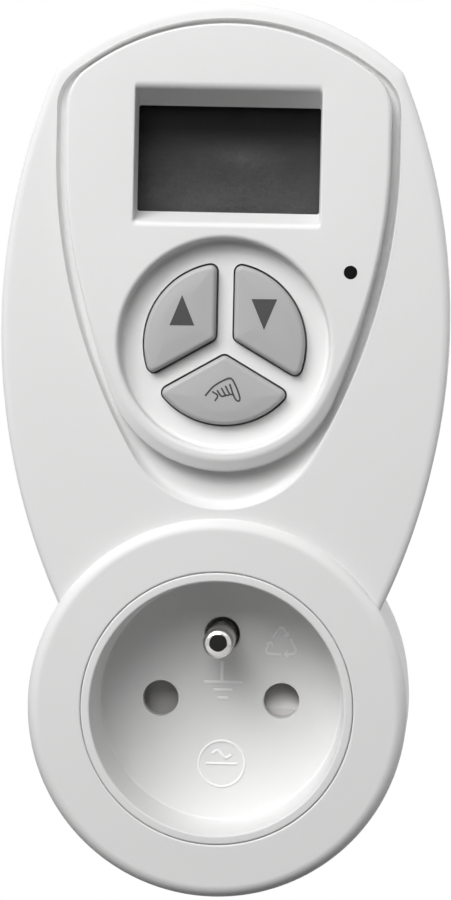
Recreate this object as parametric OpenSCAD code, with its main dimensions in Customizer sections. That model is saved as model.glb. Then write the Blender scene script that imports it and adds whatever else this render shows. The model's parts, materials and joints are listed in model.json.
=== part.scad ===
// Plug-in timer thermostat with a socket outlet, display and three keys.
// The plug's nose face is the origin, its pins point along +Y into the wall and +Z is up.
// Shapes are drawn lying on their back: x right, y up the case, z towards the viewer.

/* [Case] */
// Overall width at the widest place
case_w = 69.4; // [68:0.2:76]
// Top of the case above the socket axis
case_top = 108.7; // [106:0.1:113]
// Height of the widest place above the socket axis
widest_y = 58.8; // [55:0.1:62]
// Radius of the bowed sides
side_r = 102; // [96:1:120]
// Radius of the top arc
top_r = 40; // [39:0.5:43]
// Wall thickness of both shells
wall = 2; // [1.6:0.1:2.3]
// Depth of the rear shell
rear_d = 16; // [15.5:0.5:20]
// Depth of the front shell up to its flat front
front_d = 22.5; // [22:0.5:26]
// How far the sides lean in towards the front
draft = 0.2; // [0.1:0.1:1]
// Rounding of the side edges
side_edge = 0.8; // [0.6:0.1:2]
// Rounding of the top edge
top_edge = 1; // [0.8:0.1:2.6]
// Rounding of the back edge
back_edge = 2.5; // [1.5:0.1:3]

/* [Face] */
// Rim left beside the sunk field at the case's widest place
field_side = 8.75; // [8.4:0.05:9.6]
// Rim left above the sunk field
field_rim = 2.7; // [2.2:0.1:3]
// Drop from the field's upper corners to where its sides start to bend in
bend_drop = 5.6; // [4:0.2:8]
// Corner radius at the top of the field
field_corner = 7.5; // [6:0.5:9]
// Depth of the sunk field
field_depth = 1.9; // [1.4:0.1:2.2]
// Centre height of the rounded lower end of the field
lip_y = 46.4; // [45.5:0.1:47.5]
// Radius of the rounded lower end of the field
lip_r = 15.3; // [13.5:0.1:16]
// Width of the groove beside the raised face
groove = 1; // [0.8:0.05:1.3]
// Width of the groove above the raised face
top_groove = 0.7; // [0.5:0.1:1]
// Height of the raised face above the case front
face_rise = 1.5; // [1:0.1:2]
// Rounding of the raised face's edge
face_edge = 0.5; // [0.3:0.1:1.2]

/* [Keys] */
// Diameter of the round key bowl
bowl_d = 33.4; // [32:0.1:34.5]
// Height of the bowl's centre above the socket axis
bowl_y = 56; // [55:0.1:57]
// Depth of the bowl
bowl_depth = 3.2; // [2.6:0.1:3.6]
// Rounding at the foot of the bowl's wall
bowl_foot = 0.6; // [0.3:0.1:1.5]
// Rim of the raised face round the bowl
bowl_rim = 1.65; // [1.2:0.05:2]
// Diameter of the circle that the three keys fill
keys_d = 24.8; // [23:0.2:26]
// Height of the keys' centre above the bowl's centre
keys_up = 0.15; // [0:0.05:0.4]
// Width of the web between two keys
key_web = 2.85; // [2.2:0.05:3.3]
// Corner radius of a key
key_corner = 1; // [0.6:0.1:1.4]
// Height of the keys above the bowl's floor
key_rise = 2; // [1.4:0.1:2.4]
// Play round a key in its opening
key_play = 0.3; // [0.15:0.05:0.35]
// Width of the flange that keeps a key in
key_flange = 0.8; // [0.6:0.1:0.9]
// Thickness of the key flange
key_flange_t = 0.9; // [0.7:0.1:1.2]
// Gap above the key flange at rest
key_lift = 0.3; // [0.2:0.1:0.4]
// Travel of a key
key_travel = 0.5; // [0.3:0.1:0.6]

/* [Display] */
// Width of the window's mouth
window_w = 28.6; // [26:0.2:30]
// Height of the window's mouth
window_h = 20.8; // [19:0.1:22]
// Centre height of the window's pane
window_y = 84.55; // [84.1:0.05:85.1]
// Rise of the window's mouth above the pane's centre
mouth_up = 0.55; // [0:0.05:0.8]
// Depth of the pane below the raised face
window_depth = 5; // [4.8:0.1:5.2]
// Slope of the window's top and bottom walls
window_slope = 2.25; // [1.5:0.05:2.8]
// Slope of the window's side walls
window_side = 0.25; // [0.1:0.05:0.6]
// Thickness of the clear pane
pane_t = 1.2; // [1:0.1:1.4]
// Lap of the pane behind the window's edge
pane_lap = 1.4; // [1:0.1:1.8]
// Thickness of the liquid-crystal cell
lcd_t = 2.5; // [2:0.1:2.8]
// Wall of the frame round the cell
lcd_wall = 1.4; // [1:0.1:1.6]
// Diameter of the indicator lens
dot_d = 2; // [1.6:0.1:2.6]
// Distance of the indicator from the raised face's widest place
dot_in = 5.75; // [5:0.05:6.2]
// Height of the indicator above the socket axis
dot_y = 67.6; // [66:0.1:69]

/* [Socket] */
// Outside diameter of the socket ring
ring_d = 59; // [58:0.2:64]
// Height of the ring above the case front
ring_rise = 1.5; // [1.4:0.1:2]
// Rounding of the ring's front edge
ring_edge = 1.3; // [1:0.1:1.3]
// Width of the socket cup's flat rim
cup_rim = 1.4; // [1:0.1:2]
// Diameter of the recess at its mouth
recess_d = 39.2; // [38.4:0.1:39.4]
// Depth of the recess
recess_depth = 15; // [14.5:0.1:15.5]
// Taper of the recess on the radius
recess_taper = 0.6; // [0.3:0.1:0.8]
// Thickness of the cup's floor
cup_floor = 3; // [2.5:0.1:3.2]
// Diameter of the pin holes
hole_d = 5.6; // [5.4:0.1:6]
// Distance between the pin holes, and between the plug pins
pin_pitch = 19; // [18.8:0.1:19.2]
// Diameter of the pins
pin_d = 4.8; // [4.6:0.1:4.9]
// Height of the earth pin above the pin line
earth_y = 10; // [9.8:0.1:10.4]
// Length of the earth pin above the recess floor
earth_len = 14; // [13:0.1:14.4]
// Space behind the cup in which the shutter slides
shutter_room = 4; // [3.6:0.1:4.4]
// Travel of the shutter
shutter_travel = 6.4; // [6:0.1:6.6]

/* [Plug] */
// Diameter of the plug's nose
nose_d = 37; // [36.5:0.1:38]
// Length of the plug's nose
nose_len = 17; // [16.5:0.5:20]
// Thickness of the nose's face
nose_face = 3; // [2.5:0.1:4]
// Length of the plug pins
plug_len = 19; // [18.5:0.1:19.5]
// Diameter of the plug's earth contact
sleeve_bore = 5; // [4.95:0.05:5.2]

/* [Boards] */
// Thickness of the circuit boards
board_t = 1.6; // [1.4:0.1:1.7]
// Height of a push switch
switch_h = 3.5; // [3.2:0.1:3.6]
// Height of a switch's plunger above it
plunger_h = 1; // [0.9:0.1:1.2]
// Height of the posts under the main board
post_h = 2; // [1.6:0.1:2.2]
// Height of the relay
relay_h = 15; // [13:0.5:15]

/* [Hidden] */
$fn = 72;
// Sliding and seating gaps
fit = 0.05;
seam = 0.15;
slide_gap = 0.3;
// Overlap that lets a cut run clean out of a face
cut = 0.5;

// Levels from the plug's face towards the viewer
back_z = nose_len;
rear_in_z = back_z + wall;
joint_z = back_z + rear_d;
front_z = joint_z + front_d;
face_z = front_z + face_rise;
field_z = front_z - field_depth;
bowl_z = face_z - bowl_depth;
ceil_z = min(field_z, bowl_z) - wall;
pane_z = face_z - window_depth;
ring_z = front_z + ring_rise;
recess_z = ring_z - recess_depth;
cup_z = recess_z - cup_floor;
carrier_z = cup_z - shutter_room;
carrier_t = 11;
carrier_back_z = carrier_z - carrier_t;
flange_z = ceil_z - key_lift - key_flange_t;
board_z = flange_z - plunger_h - switch_h - board_t;
board_top_z = board_z + board_t;
main_z = rear_in_z + post_h;
main_top_z = main_z + board_t;

// Case outline
ring_r = ring_d / 2;
side_x = side_r - case_w / 2;
top_y = case_top - top_r;
field_w = case_w - 2 * field_side;

// Face outlines: half width, end height, end radius, top radius
field = [field_w / 2, lip_y, lip_r, top_r - field_rim];
face = [field_w / 2 - groove, bowl_y, bowl_d / 2 + bowl_rim, top_r - field_rim - top_groove];
dot_x = face[0] - dot_in;
bend_y = corner_y(field) - bend_drop;

// Socket and plug
pin_r = pin_d / 2;
pin_x = pin_pitch / 2;
cup_d = recess_d + 2 * cup_rim;
shank_r = pin_r - 0.2;
cup_flange_w = 2.6;
cup_flange_r = cup_d / 2 + cup_flange_w;
cup_flange_t = 2;
carrier_r = 22;
carrier_post_r = 2.5;
contact_bore_r = pin_r + 0.05;
contact_r = contact_bore_r + 0.75;
contact_foot_r = contact_r + 1;
contact_foot_t = 1.5;
pin_foot_r = 4;
pin_foot_t = 2;
stem_r = 2;
stem_len = 8;
sleeve_r = sleeve_bore / 2 + 0.9;
sleeve_len = 15;
sleeve_end_t = 2;
sleeve_flange_r = sleeve_r + 1;
nose_r = nose_d / 2;
nose_in_r = nose_r - wall;
strip_t = 1;
strip_w = 7;
strip_gap = 1.5;
strip_top_y = sqrt(pow(nose_in_r - strip_gap, 2) - pow(strip_w / 2, 2));
tail_r = 1.5;
tail_out = 0.8;
earth_tip = 1.5;
earth_foot_r = 3.8;
earth_hole_r = pin_r + 0.35;
earth_hole_y = earth_y + 0.3;

// Shutter
shutter_half = 13.5;
shutter_h = hole_d + 1.4;
shutter_t = shutter_room - 2 * slide_gap;
shutter_low = shutter_t * 0.3;
shutter_foot = 2;
shutter_land = shutter_h / 2 - shutter_foot;
rail_t = 1.5;
rail_up = 4;
stop_w = 9;
spring_end_y = -15.5;
spring_wire = 0.45;
spring_turns = 8;

// Keys: heading of each key from the bowl's centre
key_r = keys_d / 2;
keys_y = bowl_y + keys_up;
key_seat = 7.2;
up_heading = 150;
down_heading = 30;
manual_heading = 270;
switch_w = 6;
plunger_r = 1.7;
plunger_sunk = 1.2;

// Display stack
view_w = window_w - 2 * window_side;
view_h = window_h - 2 * window_slope;
pane_w = view_w + 2 * pane_lap;
pane_h = view_h + 2 * pane_lap;
lcd_side = 1.6;
lcd_end = 2.2;
lcd_w = view_w + 2 * lcd_side;
lcd_h = view_h + 2 * lcd_end;
lcd_frame_w = lcd_w + 2 * seam + 2 * lcd_wall;
lcd_frame_h = lcd_h + 2 * seam + 2 * lcd_wall;
pane_back_z = pane_z - pane_t;
lcd_z = pane_back_z - slide_gap - lcd_t;

// Screws and posts
boss_r = 3.2;
rear_boss_r = 4.5;
screw_r = 1.45;
pilot_r = screw_r + fit;
head_r = 2.7;
head_h = 2;
sink_r = head_r + 0.4;
sink_depth = 8;
screw_bite = 8;
screw_drop = 15;
screw_side = 7.5;
screw_shift = 0.7;
low_screw_y = 33;
high_screw_y = case_top - screw_drop;
high_screw_x = (lcd_frame_w / 2 + half_at(high_screw_y)) / 2 - screw_shift;
low_screw_x = half_at(low_screw_y) - screw_side;
case_screw_spots = [
    [-high_screw_x, high_screw_y], [high_screw_x, high_screw_y],
    [-low_screw_x, low_screw_y], [low_screw_x, low_screw_y]
];
post_r = 2.3;
small_screw_r = 0.95;
small_pilot_r = small_screw_r + fit;
small_head_r = 1.9;
small_head_h = 1.2;
small_screw_len = 3.6;

// Control board and its posts
board_side = 9.2;
board_w = case_w - 2 * board_side;
board_low = 37.5;
board_step = 89;
board_top_in = 10.5;
board_high = case_top - board_top_in;
neck_gap = 0.8;
board_neck_w = 2 * (high_screw_x - boss_r - neck_gap);
high_post_x = (lcd_frame_w + board_w) / 4 + seam;
high_post_y = 79;
low_post_in = 6;
low_post_x = board_w / 2 - low_post_in;
low_post_y = 41;
board_spots = [
    [-high_post_x, high_post_y], [high_post_x, high_post_y], [-low_post_x, low_post_y], [low_post_x, low_post_y]
];

// Main board and its posts
main_side = 10.2;
main_gap = 1;
main_w = case_w - 2 * main_side;
main_low = low_screw_y + rear_boss_r + main_gap;
main_high = high_screw_y - rear_boss_r - main_gap;
main_post_in = 4;
main_post_x = main_w / 2 - main_post_in;
main_post_low = 44;
main_post_drop = 22;
main_post_high = case_top - main_post_drop;
main_spots = [
    [-main_post_x, main_post_high], [main_post_x, main_post_high],
    [-main_post_x, main_post_low], [main_post_x, main_post_low]
];

// Pieces on the main board: place, then size
relay_in = [13, 66];
relay_size = [15.5, 19];
relay_at = [relay_in[0] - main_w / 2, relay_in[1]];
film_in = [12, 74];
film_size = [18, 8, 12];
film_at = [main_w / 2 - film_in[0], film_in[1]];
can_at = [11, 58];
can_r = 4;
can_h = 11;
disc_at = [-8, 47];
disc_r = 5;
disc_t = 4;
fuse_at = [10, 47];
fuse_r = 1.6;
fuse_len = 10;
bridge_step = [12, -9];
bridge_size = [6.4, 8.4, 3.3];
bridge_at = relay_at + bridge_step;
regulator_in = [6, 64];
regulator_size = [4.6, 3.8, 4.6];
regulator_at = [main_w / 2 - regulator_in[0], regulator_in[1]];
header_in = [-4, 24];
header_at = [header_in[0], case_top - header_in[1]];
header_size = [15, 2.5, 2.5];
header_pitch = 2.54;
header_pin = 0.64;

// Pieces on the control board: place, then size
chip_step = [15, 0];
chip_size = [11, 11, 1.8];
chip_at = relay_at + chip_step;
crystal_step = [10, 0];
crystal_r = 1.1;
crystal_len = 7;
crystal_at = chip_at + crystal_step;
cell_in = [12, 52];
cell_r = 6;
cell_t = 3;
cell_at = [board_w / 2 - cell_in[0], cell_in[1]];
bead_drop_y = 15;
bead_at = [0, case_top - bead_drop_y];
bead_r = 1.6;
bead_drop = 5;
leg_x = 0.8;
leg_r = 0.3;

// Wires: lanes past the lower screws, height over the board and way points across, up and above the floor
wire_r = 1;
lane_gap = 1.5;
lane_x = low_screw_x - rear_boss_r - wire_r - lane_gap;
live_lane_in = 4;
neutral_lane_in = 0.5;
pad_in = 3;
wire_h = 2.5;
live_way = [[-9.5, 0.5, -6], [-10, 5, 0], [-11, 12, 1.8]];
live_rise = [23, 2.4];
load_way = [[-9.5, 0, -1.2], [-11.5, 1.5, -1.9], [-16, 10, -1.9]];
load_rise = [22, -1];
neutral_way = [[10, 4, -4], [11, 8, 0.8], [12.5, 14, 2], [16, 23, 2.4]];

// Points on an arc from angle a to angle b
function arc(c, r, a, b, n) = [for (i = [0:n]) c + r * [cos(a + (b - a) * i / n), sin(a + (b - a) * i / n)]];

// Half width of the case at height y
function half_at(y) = sqrt(pow(side_r, 2) - pow(y - widest_y, 2)) - side_x;

// Radius of the side that touches both the upright edge and the rounded lower end
function side_of(o) = (pow(o[0], 2) + pow(bend_y - o[1], 2) - pow(o[2], 2)) / (2 * (o[0] - o[2]));

// Centre height of the upper corner, which touches the upright edge and the top arc
function corner_y(o) = top_y + sqrt(pow(o[3] - field_corner, 2) - pow(o[0] - field_corner, 2));

// Right half of a face outline set in by d: lower end, side, upper corner and top
function half_outline(o, d) =
    let (
        r = side_of(o),
        sx = o[0] - r,
        low = atan2(o[1] - bend_y, -sx),
        cy = corner_y(o),
        high = atan2(cy - top_y, o[0] - field_corner)
    )
    concat(
        arc([0, o[1]], o[2] - d, -90, low, 7),
        [for (p = arc([sx, bend_y], r - d, low, 0, 8)) if (p[1] > o[1] + (o[2] - d) * sin(low) + 0.01) p],
        arc([o[0] - field_corner, cy], field_corner - d, 0, high, 5),
        [for (p = arc([0, top_y], o[3] - d, high, 90, 7)) if (p[0] < (o[3] - d) * cos(high) - 0.01) p]
    );

// Whole outline: the right half, then its mirror image without the two points on the axis
function outline(o, d) =
    let (h = half_outline(o, d), n = len(h))
    concat(h, [for (i = [n - 2:-1:1]) [-h[i][0], h[i][1]]]);

// Smooth curve through hand-chosen points
function mix(a, b, c, d, t) =
    0.5 * (2 * b + (c - a) * t + (2 * a - 5 * b + 4 * c - d) * t * t + (3 * b - a - 3 * c + d) * t * t * t);
function smooth(p, n) =
    let (last = len(p) - 1)
    concat(
        [for (i = [0:last - 1]) for (k = [0:n - 1])
            mix(p[max(i - 1, 0)], p[i], p[i + 1], p[min(i + 2, last)], k / n)],
        [p[last]]
    );
function unit(v) = v / norm(v);

// Stands a shape drawn on its back upright
module upright() {
    rotate([90, 0, 0]) children();
}

// Solid between stacked outlines that all have the same number of points
module stack(rings, heights) {
    n = len(rings[0]);
    m = len(rings);
    points = [for (k = [0:m - 1]) for (p = rings[k]) [p[0], p[1], heights[k]]];
    sides = [for (k = [0:m - 2]) for (i = [0:n - 1]) for (t = [0:1])
        let (a = k * n + i, b = k * n + (i + 1) % n)
        t == 0 ? [a, a + n, b] : [b, a + n, b + n]];
    base = [for (i = [0:n - 1]) i];
    lid = [for (i = [n - 1:-1:0]) (m - 1) * n + i];
    polyhedron(points, concat(sides, [base], [lid]));
}

// Round tube along a path, with its sides counted from a fixed direction
module tube(path, r, sides, aim) {
    m = len(path);
    points = [for (k = [0:m - 1])
        let (t = unit(path[min(k + 1, m - 1)] - path[max(k - 1, 0)]), u = unit(cross(t, aim)), w = cross(t, u))
        for (i = [0:sides - 1]) path[k] + r * (cos(360 * i / sides) * u + sin(360 * i / sides) * w)];
    faces = [for (k = [0:m - 2]) for (i = [0:sides - 1]) for (t = [0:1])
        let (a = k * sides + i, b = k * sides + (i + 1) % sides)
        t == 0 ? [a, a + sides, b] : [b, a + sides, b + sides]];
    base = [for (i = [0:sides - 1]) i];
    lid = [for (i = [sides - 1:-1:0]) (m - 1) * sides + i];
    polyhedron(points, concat(faces, [base], [lid]));
}

// Round disc whose upper edge is rounded and whose side leans in by lean
module puck(r, z0, z1, edge, lean) {
    rotate_extrude()
        polygon(concat([[0, z0], [r, z0]], arc([r - lean - edge, z1 - edge], edge, 0, 90, 5), [[0, z1]]));
}

// Egg-shaped block between two levels, set in by d, rounded towards z1
module egg(d, z0, z1, side_round, top_round, lean) {
    intersection() {
        translate([-side_x, widest_y, 0]) puck(side_r - d, z0, z1, side_round, lean);
        translate([side_x, widest_y, 0]) puck(side_r - d, z0, z1, side_round, lean);
        union() {
            translate([0, top_y, 0]) puck(top_r - d, z0, z1, top_round, lean);
            translate([-case_w, -case_w, z0]) cube([2 * case_w, case_w + top_y, z1 - z0]);
        }
    }
}

// Same shapes with the rounding towards the wall
module flipped(z0, z1) {
    translate([0, 0, z0 + z1]) mirror([0, 0, 1]) children();
}

module at_spots(spots) {
    for (p = spots) translate([p[0], p[1], 0]) children();
}

module rod(r, z0, z1) {
    translate([0, 0, z0]) cylinder(r = r, h = z1 - z0);
}

module block(w, h, z0, z1) {
    translate([-w / 2, -h / 2, z0]) cube([w, h, z1 - z0]);
}

// One key's flat shape, grown by d
module key_shape(heading, d) {
    translate([0, keys_y]) rotate(heading - 90) offset(r = key_corner + d) offset(delta = -key_corner)
        intersection() {
            circle(r = key_r);
            translate([0, key_web / 2 / sin(60)])
                polygon([[0, 0], [key_r * tan(60), key_r], [-key_r * tan(60), key_r]]);
        }
}

// Window: mouth in the raised face, narrowing to the pane
module window_cut() {
    m = [window_w / 2, window_h / 2];
    v = [view_w / 2, view_h / 2];
    grow = cut / window_depth;
    o = m + (m - v) * grow;
    up = [0, mouth_up * (1 + grow)];
    translate([0, window_y, 0])
        stack(
            [[-v, [v[0], -v[1]], v, [-v[0], v[1]]],
             [up - o, up + [o[0], -o[1]], up + o, up + [-o[0], o[1]]]],
            [pane_z, face_z + cut]
        );
}

// Bowl with an upright wall, rounded at its foot
module bowl_cut() {
    r = bowl_d / 2;
    cove = arc([r - bowl_foot, bowl_z + bowl_foot], bowl_foot, -90, 0, 6);
    translate([0, bowl_y, 0]) rotate_extrude()
        polygon(concat([[0, bowl_z]], cove, [[r, face_z + cut], [0, face_z + cut]]));
}

// Case front with its sunk field, raised face and socket ring, still solid
module front_block() {
    difference() {
        egg(0, joint_z, front_z, side_edge, top_edge, draft);
        stack(
            [outline(field, 0.5), outline(field, 0.1), outline(field, -0.3)],
            [field_z, front_z - 0.6, front_z + cut]
        );
    }
    stack(
        [outline(face, 0), outline(face, 0), outline(face, face_edge * 0.3), outline(face, face_edge)],
        [ceil_z, face_z - face_edge, face_z - face_edge * 0.3, face_z]
    );
    puck(ring_r, joint_z, ring_z, ring_edge, draft);
}

// Hollow of the front shell: case, then ring
module front_hollow() {
    egg(wall, joint_z - cut, ceil_z, side_edge, top_edge, draft);
    puck(ring_r - wall, joint_z - cut, ring_z - wall, max(ring_edge - wall, 0.2), draft);
}

module front_shell() {
    color("white") {
        difference() {
            union() {
                difference() {
                    front_block();
                    front_hollow();
                }
                // Bosses for the case screws
                at_spots(case_screw_spots) rod(boss_r, joint_z, ceil_z + fit);
            }
            at_spots(case_screw_spots) rod(pilot_r, joint_z - cut, joint_z + screw_bite + 1);
            bowl_cut();
            window_cut();
            for (a = [up_heading, down_heading, manual_heading])
                translate([0, 0, ceil_z - cut]) linear_extrude(bowl_z - ceil_z + 2 * cut)
                    key_shape(a, key_play);
            translate([0, window_y, 0]) block(pane_w + 2 * seam, pane_h + 2 * seam, ceil_z - cut, pane_z);
            translate([dot_x, dot_y, 0]) rod(dot_d / 2 + fit, ceil_z - cut, face_z + cut);
            rod(cup_d / 2 + seam, ring_z - wall - cut, ring_z + cut);
        }
        // Skirt that the cup's flange seats on
        difference() {
            rod(cup_d / 2 + seam + wall, recess_z + cup_flange_t, ring_z - wall);
            rod(cup_d / 2 + seam, recess_z + cup_flange_t - cut, ring_z - wall + cut);
        }
        // Posts for the control board
        at_spots(board_spots) difference() {
            rod(post_r, board_top_z, ceil_z);
            rod(small_pilot_r, board_top_z - cut, board_top_z + small_screw_len - board_t + cut);
        }
    }
}

// Rear case, nose and bosses, still solid
module rear_block() {
    flipped(back_z, joint_z) egg(0, back_z, joint_z, back_edge, back_edge, draft);
    flipped(back_z, joint_z) puck(ring_r, back_z, joint_z, back_edge, draft);
    flipped(0, back_z + cut) puck(nose_r, 0, back_z + cut, 1.2, 0);
}

module rear_hollow() {
    flipped(rear_in_z, joint_z + cut) egg(wall, rear_in_z, joint_z + cut, back_edge, back_edge, draft);
    flipped(rear_in_z, joint_z + cut) puck(ring_r - wall, rear_in_z, joint_z + cut, back_edge, draft);
    rod(nose_in_r, nose_face, rear_in_z + cut);
}

vent_w = 2;
vent_h = 9;
vent_pitch = 5;
vent_y = 92;
vent_spots = [for (i = [-2:2]) [i * vent_pitch, vent_y]];
plate_w = 34;
plate_h = 20;
plate_y = 64;
plate_sink = 0.4;
clip_w = 6;
clip_len = 13;
clip_t = 0.6;
clip_bow = 0.7;
clip_z = 1.5;
clip_room = 4;
clip_sink = 0.9;
clip_y = nose_r - clip_sink;

module rear_shell() {
    color("whitesmoke") {
        difference() {
            union() {
                difference() {
                    rear_block();
                    rear_hollow();
                }
                at_spots(case_screw_spots) rod(rear_boss_r, rear_in_z - cut, joint_z);
            }
            // Counterbored screw holes
            at_spots(case_screw_spots) {
                rod(screw_r + 0.25, back_z - cut, joint_z + cut);
                rod(sink_r, back_z - cut, back_z + sink_depth);
            }
            // Plug pins and earth sleeve pass through the nose's face
            for (s = [-1, 1]) translate([s * pin_x, 0, 0]) rod(pin_r + fit, -cut, nose_face + cut);
            translate([0, earth_y, 0]) rod(sleeve_r + fit, -cut, nose_face + cut);
            // Vents over the thermistor, and the plate's seat
            at_spots(vent_spots) block(vent_w, vent_h, back_z - cut, rear_in_z + cut);
            translate([0, plate_y, 0]) block(plate_w, plate_h, back_z - cut, back_z + plate_sink);
            // Seats of the side clips
            for (s = [-1, 1]) translate([0, s * (clip_y + clip_room / 2), 0])
                block(clip_w + 2 * seam, clip_room + 2 * fit, clip_z, clip_z + clip_len + 2 * seam);
        }
        // Posts under the socket carrier
        for (a = [0, 180, 270]) rotate(a) translate([nose_r + 1, 0, 0])
            rod(carrier_post_r, rear_in_z, carrier_back_z);
        // Posts under the main board
        at_spots(main_spots) difference() {
            rod(post_r, rear_in_z, main_z);
            rod(small_pilot_r, main_z - small_screw_len + board_t - 0.2, main_z + cut);
        }
    }
}

// Cup of the socket, with a flat rim flush with the ring
module socket_insert() {
    r = recess_d / 2;
    low = r - recess_taper;
    wall_line = concat(arc([low - 1, recess_z + 1], 1, -90, 0, 4), [[r, ring_z]]);
    color("white") difference() {
        rotate_extrude() polygon(concat(
            [[0, cup_z], [cup_flange_r, cup_z], [cup_flange_r, recess_z + cup_flange_t]],
            [[cup_d / 2, recess_z + cup_flange_t], [cup_d / 2, ring_z - 0.3], [cup_d / 2 - 0.3, ring_z]],
            [for (i = [len(wall_line) - 1:-1:0]) wall_line[i]],
            [[0, recess_z]]
        ));
        for (s = [-1, 1]) translate([s * pin_x, 0, 0]) rod(hole_d / 2, cup_z - cut, recess_z + cut);
        translate([0, earth_hole_y, 0]) rod(earth_hole_r, cup_z - cut, recess_z + cut);
    }
}

// Earth pin with a rounded nose, a foot held under the cup and a tail for the link
module earth_pin() {
    tip = recess_z + earth_len;
    color("silver") translate([0, earth_y, 0]) {
        rotate_extrude() polygon(concat(
            [[0, recess_z], [pin_r, recess_z]],
            arc([pin_r - earth_tip, tip - earth_tip], earth_tip, 0, 90, 5),
            [[0, tip]]
        ));
        rod(shank_r, cup_z - fit, recess_z + fit);
        rod(earth_foot_r, carrier_z, cup_z);
        rod(tail_r, carrier_back_z - strip_t - tail_out, carrier_z + fit);
    }
}

// Block that holds the contacts and guides the shutter
module contact_carrier() {
    run = shutter_h / 2 + shutter_travel + slide_gap;
    color("ivory") {
        difference() {
            rod(carrier_r, carrier_back_z, carrier_z);
            for (s = [-1, 1]) translate([s * pin_x, 0, 0])
                rod(contact_r + fit, carrier_back_z - cut, carrier_z + cut);
            translate([0, earth_y, 0]) rod(tail_r + fit, carrier_back_z - cut, carrier_z + cut);
        }
        for (s = [-1, 1]) translate([s * (shutter_half + slide_gap + rail_t / 2), -(run - rail_up) / 2, 0])
            block(rail_t, run + rail_up, carrier_z - fit, cup_z);
        translate([0, spring_end_y - rail_t / 2, 0]) block(stop_w, rail_t, carrier_z - fit, cup_z);
    }
}

// Slider behind the pin holes: a ramp with a flat foot on the right, a flat land on the left
module safety_shutter() {
    z0 = carrier_z + slide_gap;
    h = shutter_h / 2;
    color("gainsboro") {
        translate([shutter_half, 0, 0]) rotate([90, 0, -90]) linear_extrude(shutter_half)
            polygon([
                [h, z0], [-h, z0], [-h, z0 + shutter_low], [shutter_land, z0 + shutter_t], [h, z0 + shutter_t]
            ]);
        translate([-shutter_half / 2, 0, 0]) block(shutter_half + 2 * fit, shutter_h, z0, z0 + shutter_low);
    }
}

// Coil spring that pushes the shutter up
module shutter_spring() {
    top = -shutter_h / 2 - spring_wire / 2 - fit;
    low = spring_end_y + spring_wire / 2 + fit;
    r = shutter_t / 2 - spring_wire / 2;
    n = 12 * spring_turns;
    color("silver") tube(
        [for (i = [0:n]) [
            r * cos(30 * i),
            low + (top - low) * i / n,
            carrier_z + slide_gap + shutter_t / 2 + r * sin(30 * i)
        ]],
        spring_wire / 2, 6, [0, 1, 0]
    );
}

// Split sleeve that grips a plug pin, with a foot under the carrier
module contact(s) {
    foot_z = carrier_back_z - contact_foot_t;
    color("goldenrod") translate([s * pin_x, 0, 0]) {
        difference() {
            rod(contact_r, foot_z, carrier_z - cut);
            rod(contact_bore_r, carrier_back_z, carrier_z + cut);
            translate([0, contact_r, 0]) block(0.8, 2 * contact_r, carrier_back_z + 2, carrier_z + cut);
        }
        difference() {
            rod(contact_foot_r, foot_z, carrier_back_z);
            rod(contact_r - fit, foot_z - cut, carrier_back_z + cut);
        }
    }
}

module live_contact() {
    contact(-1);
}

module neutral_contact() {
    contact(1);
}

// Strip from the earth sleeve's end up to the foot of the earth pin
module earth_link() {
    low_z = sleeve_len + sleeve_end_t;
    high_z = carrier_back_z - strip_t;
    low_y = earth_y - sleeve_r;
    mid_y = (low_y + strip_top_y) / 2;
    color("goldenrod") {
        difference() {
            translate([0, mid_y, 0]) block(strip_w, strip_top_y - low_y, high_z, carrier_back_z);
            translate([0, earth_y, 0]) rod(tail_r + fit, high_z - cut, carrier_back_z + cut);
        }
        translate([0, mid_y, 0]) block(strip_w, strip_top_y - low_y, low_z, low_z + strip_t);
        translate([0, strip_top_y - strip_t / 2, 0]) block(strip_w, strip_t, low_z, carrier_back_z);
    }
}

// Plug pin with a rounded end, a foot inside the nose and a stem up to stem_z
module plug_pin(s, stem_z) {
    color("silver") translate([s * pin_x, 0, 0]) {
        flipped(-plug_len, 0) puck(pin_r, -plug_len, 0, 1.6, 0);
        rod(shank_r, -fit, nose_face + fit);
        rod(pin_foot_r, nose_face, nose_face + pin_foot_t);
        rod(stem_r, nose_face + pin_foot_t - fit, stem_z);
    }
}

live_stem_z = nose_face + stem_len - pin_foot_t;

module live_plug_pin() {
    plug_pin(-1, live_stem_z);
}

module neutral_plug_pin() {
    plug_pin(1, carrier_back_z - contact_foot_t);
}

// Female earth contact of the plug, closed at its inner end
module plug_earth_sleeve() {
    color("goldenrod") translate([0, earth_y, 0]) {
        difference() {
            rod(sleeve_r, 0.5, sleeve_len + sleeve_end_t);
            rod(sleeve_bore / 2, 0, sleeve_len);
        }
        difference() {
            rod(sleeve_flange_r, nose_face, nose_face + 1.5);
            rod(sleeve_r - fit, nose_face - cut, nose_face + 2);
        }
    }
}

// Bowed earth clips in the nose's sides
module side_earth_clips() {
    z0 = clip_z + seam;
    inner = [[0, z0], [clip_bow, z0 + clip_len / 2], [0, z0 + clip_len]];
    outer = [for (i = [2:-1:0]) inner[i] + [clip_t, 0]];
    color("silver") for (a = [0, 180])
        rotate(a) translate([clip_w / 2, clip_y, 0]) rotate([0, -90, 0]) linear_extrude(clip_w)
            polygon([for (p = concat(inner, outer)) [p[1], p[0]]]);
}

module display_window() {
    color("lightblue", 0.4) translate([0, window_y, 0]) block(pane_w, pane_h, pane_back_z, pane_z);
}

module lcd_panel() {
    color("dimgray") translate([0, window_y, 0]) block(lcd_w, lcd_h, lcd_z, lcd_z + lcd_t);
}

// Frame that stands on the control board round the cell
module lcd_frame() {
    color("white") translate([0, window_y, 0]) difference() {
        block(lcd_frame_w, lcd_frame_h, board_top_z, lcd_z + lcd_t - 0.3);
        block(lcd_frame_w - 2 * lcd_wall, lcd_frame_h - 2 * lcd_wall, board_top_z - cut, lcd_z + lcd_t + cut);
    }
}

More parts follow.
